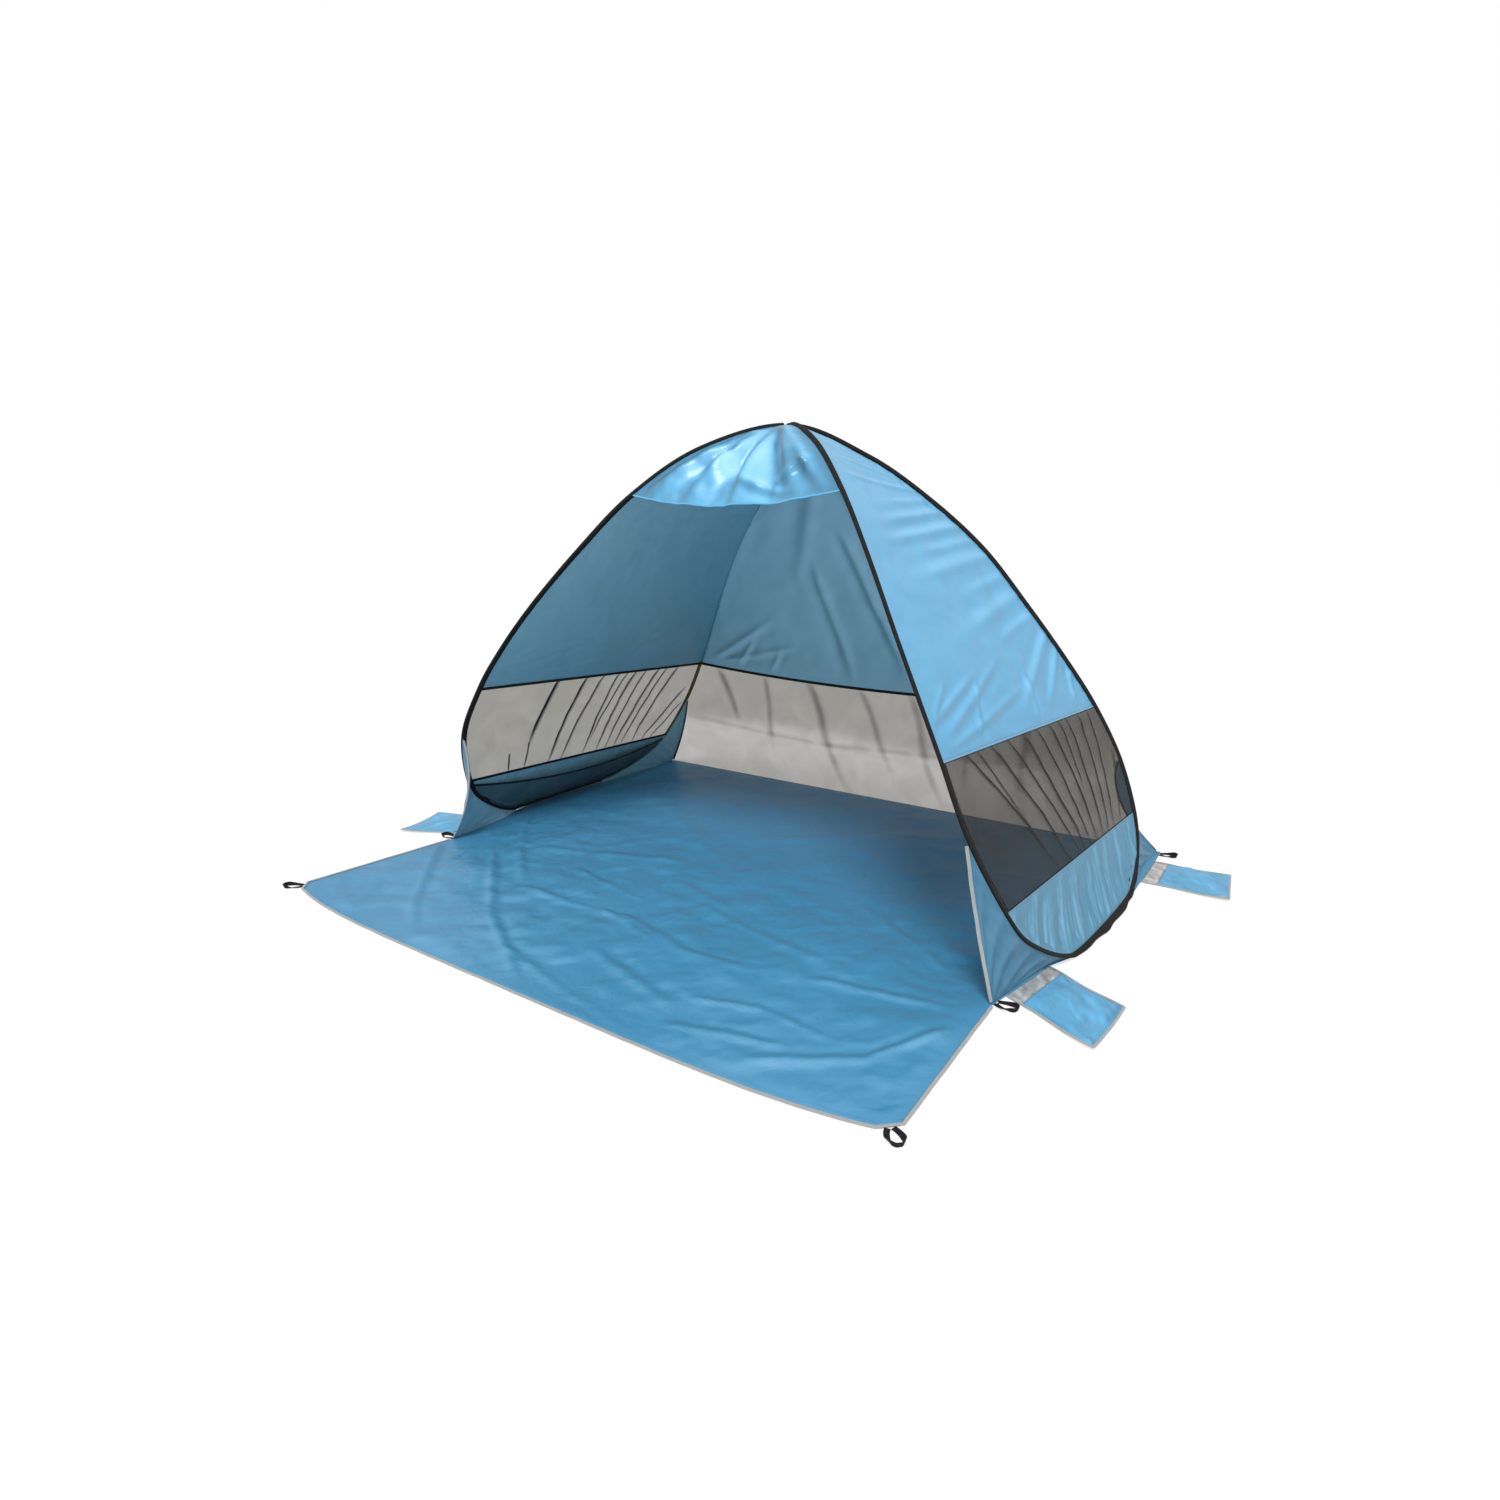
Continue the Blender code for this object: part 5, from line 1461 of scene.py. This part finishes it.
def ground_cloth():
    """One piece of coated taffeta for floor and apron, creased by folding."""
    panel = Panel(ground_point, columns=232, rows=206)
    world_x, world_y = panel.points[..., 0], panel.points[..., 1]
    relief = np.zeros_like(world_x)
    for *ends, width, depth in GROUND_CREASES:
        relief += GROUND_CREASE_SHARE * ridge(world_x, world_y, ends, width, depth)
    relief += GROUND_RISE + crumple(panel, grain=0.26, depth=0.0080, seed=41.0)
    # Small wrinkles lie in front, where the cloth is walked on. Under the roof it lies smooth.
    walked = np.clip((panel.v - WALKED_START) / WALKED_REACH, LEAST_WALKED, 1.0)
    relief += walked * crumple(panel, grain=0.08, depth=0.0040, seed=43.0)
    relief = np.clip(relief, 0.0, GROUND_RELIEF_LIMIT) * panel.pinned(0.05)
    # Painted light and shade: soft lighter and darker patches all over, and painted shade under the
    # roof, so the cloth is lighter out in front.
    shade = crumple(panel, grain=0.45, depth=0.07, seed=45.0)
    shade -= ROOF_SHADE_DEPTH * np.clip((FULLY_LIT_FROM - panel.v) / ROOF_SHADE_REACH, 0, 1)
    cloth = cloth_piece(
        "ground_cloth", panel, relief, UP, finish_of("ground"),
        nodes=["floor_sheet", "apron_sheet"], thickness=FLOOR_TOP * 0.7, body=None,
        gleam=(-0.5, -0.8, 0.55), shade=shade)
    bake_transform(cloth)


def apron_outline():
    """Points along the apron's free edge from the right sill corner round to the left one."""
    sill = -HALF_DEPTH - GAP
    tip = sill - APRON_DEPTH
    start = Vector((side_out(-HALF_DEPTH), sill, 0))
    shoulder = Vector((APRON_HALF_WIDTH, tip + APRON_CORNER_CUT, 0))
    turn = Vector((APRON_FRONT_HALF, tip, 0))
    right = [start.lerp(shoulder, share) for share in shares(30)[:-1]]
    right += [shoulder.lerp(turn, share) for share in shares(6)[:-1]]
    places = [APRON_FRONT_HALF * (1 - 2 * share) for share in shares(140)]
    front = [Vector((x, ground_front(x) - GAP, 0)) for x in places]
    return right + front + [mirrored(point) for point in reversed(right)]


def apron_binding():
    """Grey binding tape folded over the apron's free edge."""
    line = apron_outline()
    height = BINDING_HEIGHT / 2 + BINDING_REST
    points, across = [], []
    for place, point in enumerate(line):
        before, after = line[max(place - 1, 0)], line[min(place + 1, len(line) - 1)]
        along = (after - before).normalized()
        out = Vector((-along.y, along.x, 0))
        if out.dot(point - Vector((0, -HALF_DEPTH, 0))) < 0:
            out = -out
        wave = BINDING_WAVE * unevenness(place * BINDING_WAVES_PER_STEP, 0)
        shift = BINDING_WIDTH / 2 - BINDING_OVERLAP + wave
        points.append(point + out * shift + UP * height)
        across.append(out)
    ribbon(
        "apron_edge_binding", points, across, BINDING_WIDTH, BINDING_HEIGHT,
        finish_of("piping"), body="apron", nodes=["apron_binding"])


# Sand pockets and peg loops

def hinge_of(joint):
    """Place of a joint and the direction that points away from the tent."""
    for row in frame["joints"]:
        if row["name"] == joint:
            axis = Vector(row["axis"])
            return Vector(row["pos_m"]), Vector((-axis.y, axis.x, 0)).normalized()
    raise ValueError("the frame has no joint named " + joint)


def local_points(side, joint, skew):
    """A function from a place on a pocket to the world: out from the hinge, then along it."""
    origin, out = hinge_of(joint)
    along = Vector((-out.y, out.x, 0)) * side
    lean = math.tan(skew)
    outwards, sideways = POCKET_WAVE_RATES

    def place(x, y, z):
        wave = POCKET_WAVE * math.sin(x * outwards + y * sideways) * min(x / POCKET_STRIP, 1.0)
        stretch = 1 + POCKET_SLANT * y * side / POCKET_WIDTH
        lift = POCKET_LIFT * (x / POCKET_LENGTH) ** 2 * (2 * abs(y) / POCKET_WIDTH) ** 2
        return origin + out * (x * stretch) + along * (y + x * lean + wave) + UP * (z + lift)

    return place


def sand_pocket(label, side, end, skew):
    """Flat pouch for sand: silver back, blue top with an open mouth, and grey binding."""
    name = f"{label}_{end}_pocket"
    place = local_points(side, name + "_swing", skew)
    half, reach = POCKET_WIDTH / 2, POCKET_LENGTH
    silver = Panel(
        lambda u, v: place(reach * v, half * (2 * u - 1), -POCKET_CLOTH / 2), columns=40, rows=50)
    relief = 0.0016 + crumple(silver, grain=0.035, depth=0.0040, seed=47.0 + side)
    relief = np.clip(relief * silver.pinned(0.008), 0, 0.005) * (silver.v * reach < POCKET_STRIP)
    cloth_piece(
        name + "_silver_back", silver, relief, UP, finish_of("silver"), body=name,
        nodes=[name + "_back"], gleam=(0.7, 0.7, 1.5))

    def top_place(u, v):
        x = POCKET_STRIP + (reach - POCKET_STRIP) * v
        swell = POCKET_RISE_START + (1 - POCKET_RISE_START) * min(v / POCKET_RISE_END, 1)
        rise = POCKET_BELLY * 4 * u * (1 - u) * (1 - v ** 2) * swell
        return place(x, half * (2 * u - 1), POCKET_TOP_GAP + rise)

    top = Panel(top_place, columns=60, rows=60)
    seed = 53.0 + side + len(end)
    relief = 0.0015 + crumple(top, grain=0.11, depth=0.010, seed=seed)
    relief += crumple(top, grain=0.04, depth=0.0016, seed=seed + 2)
    relief = np.clip(relief * top.pinned(0.018), -0.0025, 0.008)
    cloth_piece(
        name + "_blue_top", top, relief, UP, finish_of("pocket"), body=name,
        nodes=[name + "_top"], shade=-0.12)
    pocket_binding(name, place)


def pocket_binding(name, place):
    """Grey binding tape round a sand pocket's three free edges."""
    half, reach = POCKET_WIDTH / 2, POCKET_LENGTH
    height = (BINDING_HEIGHT - 2 * POCKET_CLOTH) / 2
    line = [(0, -half), (reach, -half), (reach, half), (0, half)]
    points, across = [], []
    for (x0, y0), (x1, y1) in zip(line[:-1], line[1:]):
        for share in shares(20):
            x, y = x0 + (x1 - x0) * share, y0 + (y1 - y0) * share
            point = place(x, y, height + POCKET_BINDING_REST)
            beyond = place(x + (0.01 if x0 == x1 else 0), y + math.copysign(0.01, y), height)
            out = Vector((beyond.x - point.x, beyond.y - point.y, 0))
            points.append(
                point + out.normalized() * (BINDING_WIDTH / 2 - POCKET_BINDING_OVERLAP))
            across.append(out)
    ribbon(
        name + "_edge_binding", points, across, BINDING_WIDTH * POCKET_BINDING_SHARE,
        BINDING_HEIGHT, finish_of("piping"), body=name, nodes=[name + "_binding"])


def loop_half_width(x):
    """Half width of a peg loop along its length: tapered from its root, round at its tip."""
    widest = LOOP_LENGTH / 2
    if x < widest:
        share = x / widest
        return (LOOP_ROOT_WIDTH + (LOOP_WIDTH - LOOP_ROOT_WIDTH) * share * (2 - share)) / 2
    return LOOP_WIDTH / 2 * math.sqrt(max(1 - ((x - widest) / (LOOP_LENGTH - widest)) ** 2, 0))


def peg_loop(label, where):
    """A loop of webbing: a strap that runs out flat, turns on edge round the tip and returns."""
    name = f"{label}_{where}_loop"
    origin, out = hinge_of(name + "_swing")
    along = Vector((-out.y, out.x, 0))
    inset = LOOP_WEBBING / 2
    half = []
    for share in shares(LOOP_STEPS):
        x = LOOP_LENGTH * math.sin(math.pi / 2 * share)
        upright = LOOP_UPRIGHT * min(x / LOOP_LENGTH / LOOP_TURN_SHARE, 1.0) ** 2
        narrow = inset * (1 - upright) + LOOP_THICKNESS / 2 * upright
        reach = min(x, LOOP_LENGTH - narrow)
        reach = max(reach, inset * LOOP_ROOT_SHARE)
        half.append((reach, max(loop_half_width(x) - narrow, 0.0), upright))
    line = half + [(x, -y, turn) for x, y, turn in reversed(half[:-1])]
    points, across = [], []
    for x, y, turn in line:
        spread = (out * (x - LOOP_LENGTH * LOOP_MIDDLE_SHARE) + along * y).normalized()
        points.append(origin + out * x + along * y + UP * (inset * turn - LOOP_THICKNESS / 2))
        across.append((spread * (1 - turn) + UP * turn).normalized())
    ribbon(
        name + "_strap", points, across, LOOP_WEBBING, LOOP_THICKNESS, finish_of("webbing"),
        body=name, nodes=[f"{label}_{where}_peg_loop"])


# Stitches, by geometry nodes along their seams

THREAD_SHARE = 0.62
THREAD_SIDES = 5


def stitch_tree(material):
    """Node group that lays short threads along a curve at a spacing."""
    tree = bpy.data.node_groups.new("stitches along seam " + material.name, "GeometryNodeTree")
    tree.is_modifier = True
    face = tree.interface
    face.new_socket("Geometry", in_out="INPUT", socket_type="NodeSocketGeometry")
    face.new_socket("Spacing", in_out="INPUT", socket_type="NodeSocketFloat")
    face.new_socket("Radius", in_out="INPUT", socket_type="NodeSocketFloat")
    face.new_socket("Geometry", in_out="OUTPUT", socket_type="NodeSocketGeometry")
    entry = add_node(tree, "NodeGroupInput")
    seam = add_node(
        tree, "GeometryNodeCurveToPoints", {"mode": "LENGTH"},
        {"Curve": entry.outputs["Geometry"], "Length": entry.outputs["Spacing"]})
    length = add_node(
        tree, "ShaderNodeMath", {"operation": "MULTIPLY"},
        {0: entry.outputs["Spacing"], 1: THREAD_SHARE})
    thread = add_node(
        tree, "GeometryNodeMeshCylinder", inputs={
            "Vertices": THREAD_SIDES, "Radius": entry.outputs["Radius"],
            "Depth": length.outputs[0]})
    laid = add_node(
        tree, "GeometryNodeInstanceOnPoints", inputs={
            "Points": seam.outputs["Points"], "Instance": thread.outputs["Mesh"],
            "Rotation": seam.outputs["Rotation"]})
    real = add_node(tree, "GeometryNodeRealizeInstances", inputs={0: laid.outputs[0]})
    dressed = add_node(
        tree, "GeometryNodeSetMaterial", inputs={0: real.outputs[0], "Material": material})
    add_node(tree, "NodeGroupOutput", inputs={0: dressed.outputs[0]})
    return tree


def stitch_run(name, lines, kind, body):
    """Rows of stitches along lines, as one plain mesh that rides on a body."""
    sizes = bpy.context.scene.beach_tent_sizes
    materials, slot = finish_of(kind)
    curve = bpy.data.curves.new(name + "_seams", "CURVE")
    curve.dimensions = "3D"
    for line in lines:
        seam = curve.splines.new("POLY")
        seam.points.add(len(line) - 1)
        for point, place in zip(seam.points, line):
            point.co = (*place, 1.0)
    guide = bpy.data.objects.new(name + "_seams", curve)
    bpy.context.scene.collection.objects.link(guide)
    tree = stitch_tree(materials[0])
    modifier = guide.modifiers.new("stitches", "NODES")
    modifier.node_group = tree
    for item in tree.interface.items_tree:
        if item.in_out == "INPUT" and item.name == "Spacing":
            modifier[item.identifier] = sizes.stitch_pitch
        if item.in_out == "INPUT" and item.name == "Radius":
            modifier[item.identifier] = sizes.stitch_radius
    bpy.context.view_layer.update()
    evaluated = guide.evaluated_get(bpy.context.evaluated_depsgraph_get())
    mesh = bpy.data.meshes.new_from_object(evaluated)
    guide.modifiers.remove(modifier)
    bpy.data.objects.remove(guide)
    if not mesh.polygons:
        raise RuntimeError("no stitches were made for " + name)
    mesh.name = name
    add_piece(name, mesh, () if mesh.materials else materials, slot, body)


def sleeve_seams(side):
    """Seam lines on both faces of a sleeve's welt."""
    lines = []
    for face in (-1, 1):
        line = []
        for share in shares((PATH_END - 1) * STEPS_PER_ROW):
            path = STITCH_END_GAP + (PATH_END - 2 * STITCH_END_GAP) * share
            centre, inward, sideways, welt = petal_frame(path)
            reach = SLEEVE_RADIUS + welt * SHOWN_WELT_SHARE * STITCH_PLACE_SHARE
            point = centre + inward * reach + sideways * (face * WELT_HALF_THICKNESS)
            line.append(turned_to(side, point))
        lines.append(line)
    return lines


def wall_seams(side):
    """Seam lines along the hems outside the window's upper and lower edges."""
    lines = []
    for row in (WINDOW_TOP_ROW, WINDOW_BOTTOM_ROW):
        slope = wall_point(row + SEAM_SLOPE_STEP, 0.5) - wall_point(row - SEAM_SLOPE_STEP, 0.5)
        for shift in (-HEM_WIDTH / 4, HEM_WIDTH / 4):
            off = slope.normalized() * shift + WALL_OUT * (TAPE_THICKNESS + STITCH_STAND_OFF)
            lines.append(
                [turned_to(side, wall_point(row, share) + off) for share in shares(SEAM_STEPS)])
    return lines


def tent_stitches():
    """Every row of stitches that shows from a step away."""
    for label, side in SIDES.items():
        stitch_run(label + "_sleeve_stitches", sleeve_seams(side), "dark_thread", "tent")
        stitch_run(label + "_window_stitches", wall_seams(side), "thread", "tent")
    binding_top = UP * (BINDING_HEIGHT + GAP)
    line = [point + binding_top for point in apron_outline()]
    stitch_run("apron_binding_stitches", [line], "thread", "apron")


# Picture: camera, light and surroundings

CAMERA_PLACE = (1.507, -2.261, 0.984)
CAMERA_YAW = math.radians(34.9)
CAMERA_PITCH = math.radians(16.5)
CAMERA_LENS = 21.55
CAMERA_SHIFT = (-0.0133, 0.0267)
SUN_AZIMUTH = math.radians(28.0)
SUN_HEIGHT = math.radians(60.0)
SUN_SPREAD = math.radians(20.0)
STAGE_RADIUS = 40.0
STAGE_GAP = 0.0006
# The floor glows by this share for the camera alone, so that the picture's ground is white
FLOOR_GLOW = 1.12
FLOOR_GLOW_SHARE = 0.62
SENSOR_WIDTH = 36.0


def camera():
    data = bpy.data.cameras.new("photo_camera")
    data.lens = CAMERA_LENS
    data.sensor_width = SENSOR_WIDTH
    data.shift_x, data.shift_y = CAMERA_SHIFT
    obj = bpy.data.objects.new("photo_camera", data)
    obj.location = CAMERA_PLACE
    obj.rotation_euler = (math.pi / 2 - CAMERA_PITCH, 0.0, CAMERA_YAW)
    bpy.context.scene.collection.objects.link(obj)
    bpy.context.scene.camera = obj


def stage_floor(colour):
    """A wide pale floor that the camera sees nearly white, with the tent's shadow on it."""
    shape = bmesh.new()
    bmesh.ops.create_circle(shape, cap_ends=True, segments=96, radius=STAGE_RADIUS)
    mesh = bpy.data.meshes.new("studio_floor")
    shape.to_mesh(mesh)
    shape.free()
    obj = bpy.data.objects.new("studio_floor", mesh)
    obj.location.z = -STAGE_GAP
    bpy.context.scene.collection.objects.link(obj)
    material, tree = new_material("pale_studio_floor")
    shader = add_node(
        tree, "ShaderNodeBsdfPrincipled",
        inputs={"Base Color": tuple(colour), "Roughness": 0.9, "Specular IOR Level": 0.1})
    glow = add_node(
        tree, "ShaderNodeEmission", inputs={"Color": (1.0, 1.0, 1.0, 1.0), "Strength": FLOOR_GLOW})
    path = add_node(tree, "ShaderNodeLightPath")
    seen = add_node(
        tree, "ShaderNodeMath", {"operation": "MULTIPLY"},
        {0: path.outputs["Is Camera Ray"], 1: FLOOR_GLOW_SHARE})
    mixed = add_node(
        tree, "ShaderNodeMixShader",
        inputs={0: seen.outputs[0], 1: shader.outputs[0], 2: glow.outputs[0]})
    add_node(tree, "ShaderNodeOutputMaterial", inputs={"Surface": mixed.outputs[0]})
    mesh.materials.append(material)


def surroundings(strength):
    """A white world: bright to the camera, and softer as light."""
    world = bpy.data.worlds.new("white_studio")
    world.use_nodes = True
    tree = world.node_tree
    tree.nodes.clear()
    path = add_node(tree, "ShaderNodeLightPath")
    seen = add_node(
        tree, "ShaderNodeMapRange",
        inputs={"Value": path.outputs["Is Camera Ray"], "To Min": strength, "To Max": 1.0})
    light = add_node(
        tree, "ShaderNodeBackground",
        inputs={"Color": (1.0, 1.0, 1.0, 1.0), "Strength": seen.outputs[0]})
    add_node(tree, "ShaderNodeOutputWorld", inputs={"Surface": light.outputs[0]})
    bpy.context.scene.world = world


def key_light(strength):
    data = bpy.data.lights.new("soft_key", "SUN")
    data.energy = strength
    data.angle = SUN_SPREAD
    obj = bpy.data.objects.new("soft_key", data)
    towards = Vector((
        math.sin(SUN_AZIMUTH) * math.cos(SUN_HEIGHT),
        -math.cos(SUN_AZIMUTH) * math.cos(SUN_HEIGHT), math.sin(SUN_HEIGHT)))
    obj.rotation_euler = towards.to_track_quat("Z", "Y").to_euler()
    bpy.context.scene.collection.objects.link(obj)


# Operators, one for each group of like pieces

class BEACH_TENT_OT_hoops(bpy.types.Operator):
    """Dress the wire and the tie, and sew the webbing sleeves round the hoops"""
    bl_idname = "beach_tent.hoops"
    bl_label = "Hoops and sleeves"

    def execute(self, context):
        dress_nodes()
        for label, side in SIDES.items():
            hoop_sleeve(label, side)
        return {"FINISHED"}


class BEACH_TENT_OT_side_walls(bpy.types.Operator):
    """Hang the blue upper and lower walls and the net windows in both hoops"""
    bl_idname = "beach_tent.side_walls"
    bl_label = "Side walls"

    def execute(self, context):
        for label, side in SIDES.items():
            upper_wall(label, side)
            side_window(label, side)
            lower_wall(label, side)
            window_seams(label, side)
        return {"FINISHED"}


class BEACH_TENT_OT_back_wall(bpy.types.Operator):
    """Hang the back wall and its net window"""
    bl_idname = "beach_tent.back_wall"
    bl_label = "Back wall"

    def execute(self, context):
        back_wall()
        return {"FINISHED"}


class BEACH_TENT_OT_hood(bpy.types.Operator):
    """Hang the sun visor between the front rods"""
    bl_idname = "beach_tent.hood"
    bl_label = "Hood"

    def execute(self, context):
        front_hood()
        return {"FINISHED"}


class BEACH_TENT_OT_gussets(bpy.types.Operator):
    """Fit the corner gussets with their edge tapes"""
    bl_idname = "beach_tent.gussets"
    bl_label = "Gussets"

    def execute(self, context):
        for label, side in SIDES.items():
            gussets(label, side)
            edge_tapes(label, side)
        return {"FINISHED"}


class BEACH_TENT_OT_net_pocket(bpy.types.Operator):
    """Hang the storage pocket inside the left wall"""
    bl_idname = "beach_tent.net_pocket"
    bl_label = "Net pocket"

    def execute(self, context):
        net_pocket()
        return {"FINISHED"}


class BEACH_TENT_OT_ground(bpy.types.Operator):
    """Lay the ground cloth with its apron and bind the apron's edge"""
    bl_idname = "beach_tent.ground"
    bl_label = "Ground cloth"

    def execute(self, context):
        ground_cloth()
        apron_binding()
        return {"FINISHED"}


class BEACH_TENT_OT_sand_pockets(bpy.types.Operator):
    """Lay the four sand pockets"""
    bl_idname = "beach_tent.sand_pockets"
    bl_label = "Sand pockets"

    def execute(self, context):
        for label, side in SIDES.items():
            sand_pocket(label, side, "front", FRONT_POCKET_SKEW)
            sand_pocket(label, side, "rear", REAR_POCKET_SKEW)
        return {"FINISHED"}


class BEACH_TENT_OT_peg_loops(bpy.types.Operator):
    """Sew on the six peg loops"""
    bl_idname = "beach_tent.peg_loops"
    bl_label = "Peg loops"

    def execute(self, context):
        for label in SIDES:
            for where in ("apron", "sill", "back"):
                peg_loop(label, where)
        return {"FINISHED"}


class BEACH_TENT_OT_stitches(bpy.types.Operator):
    """Sew the rows of stitches along sleeves, hems and binding"""
    bl_idname = "beach_tent.stitches"
    bl_label = "Stitches"

    def execute(self, context):
        tent_stitches()
        return {"FINISHED"}


class BEACH_TENT_OT_stage(bpy.types.Operator):
    """Set up the floor, the light and the camera"""
    bl_idname = "beach_tent.stage"
    bl_label = "Stage"

    def execute(self, context):
        settings = context.scene.beach_tent_stage
        context.scene.view_settings.view_transform = "Standard"
        camera()
        stage_floor(settings.floor)
        surroundings(settings.sky_strength)
        key_light(settings.sun_strength)
        return {"FINISHED"}


STEPS = (
    BEACH_TENT_OT_stage, BEACH_TENT_OT_hoops, BEACH_TENT_OT_side_walls, BEACH_TENT_OT_back_wall,
    BEACH_TENT_OT_hood, BEACH_TENT_OT_gussets, BEACH_TENT_OT_net_pocket, BEACH_TENT_OT_ground,
    BEACH_TENT_OT_sand_pockets, BEACH_TENT_OT_peg_loops, BEACH_TENT_OT_stitches,
)
GROUPS = {
    "beach_tent_sizes": TentSizes,
    "beach_tent_colours": TentColours,
    "beach_tent_stage": TentStage,
}


class BEACH_TENT_PT_panel(bpy.types.Panel):
    bl_label = "Beach tent"
    bl_space_type = "VIEW_3D"
    bl_region_type = "UI"
    bl_category = "Beach tent"

    def draw(self, context):
        for group, kind in GROUPS.items():
            settings = getattr(context.scene, group)
            for name in kind.__annotations__:
                self.layout.prop(settings, name)
        for step in STEPS:
            self.layout.operator(step.bl_idname)


def register():
    for group, kind in GROUPS.items():
        bpy.utils.register_class(kind)
        setattr(bpy.types.Scene, group, bpy.props.PointerProperty(type=kind))
    for step in STEPS:
        bpy.utils.register_class(step)
    bpy.utils.register_class(BEACH_TENT_PT_panel)


def unregister():
    bpy.utils.unregister_class(BEACH_TENT_PT_panel)
    for step in reversed(STEPS):
        bpy.utils.unregister_class(step)
    for group, kind in reversed(GROUPS.items()):
        delattr(bpy.types.Scene, group)
        bpy.utils.unregister_class(kind)


def main():
    register()
    bpy.ops.beach_tent.stage()
    bpy.ops.beach_tent.hoops()
    bpy.ops.beach_tent.side_walls()
    bpy.ops.beach_tent.back_wall()
    bpy.ops.beach_tent.hood()
    bpy.ops.beach_tent.gussets()
    bpy.ops.beach_tent.net_pocket()
    bpy.ops.beach_tent.ground()
    bpy.ops.beach_tent.sand_pockets()
    bpy.ops.beach_tent.peg_loops()
    bpy.ops.beach_tent.stitches()


if __name__ == "__main__":
    main()
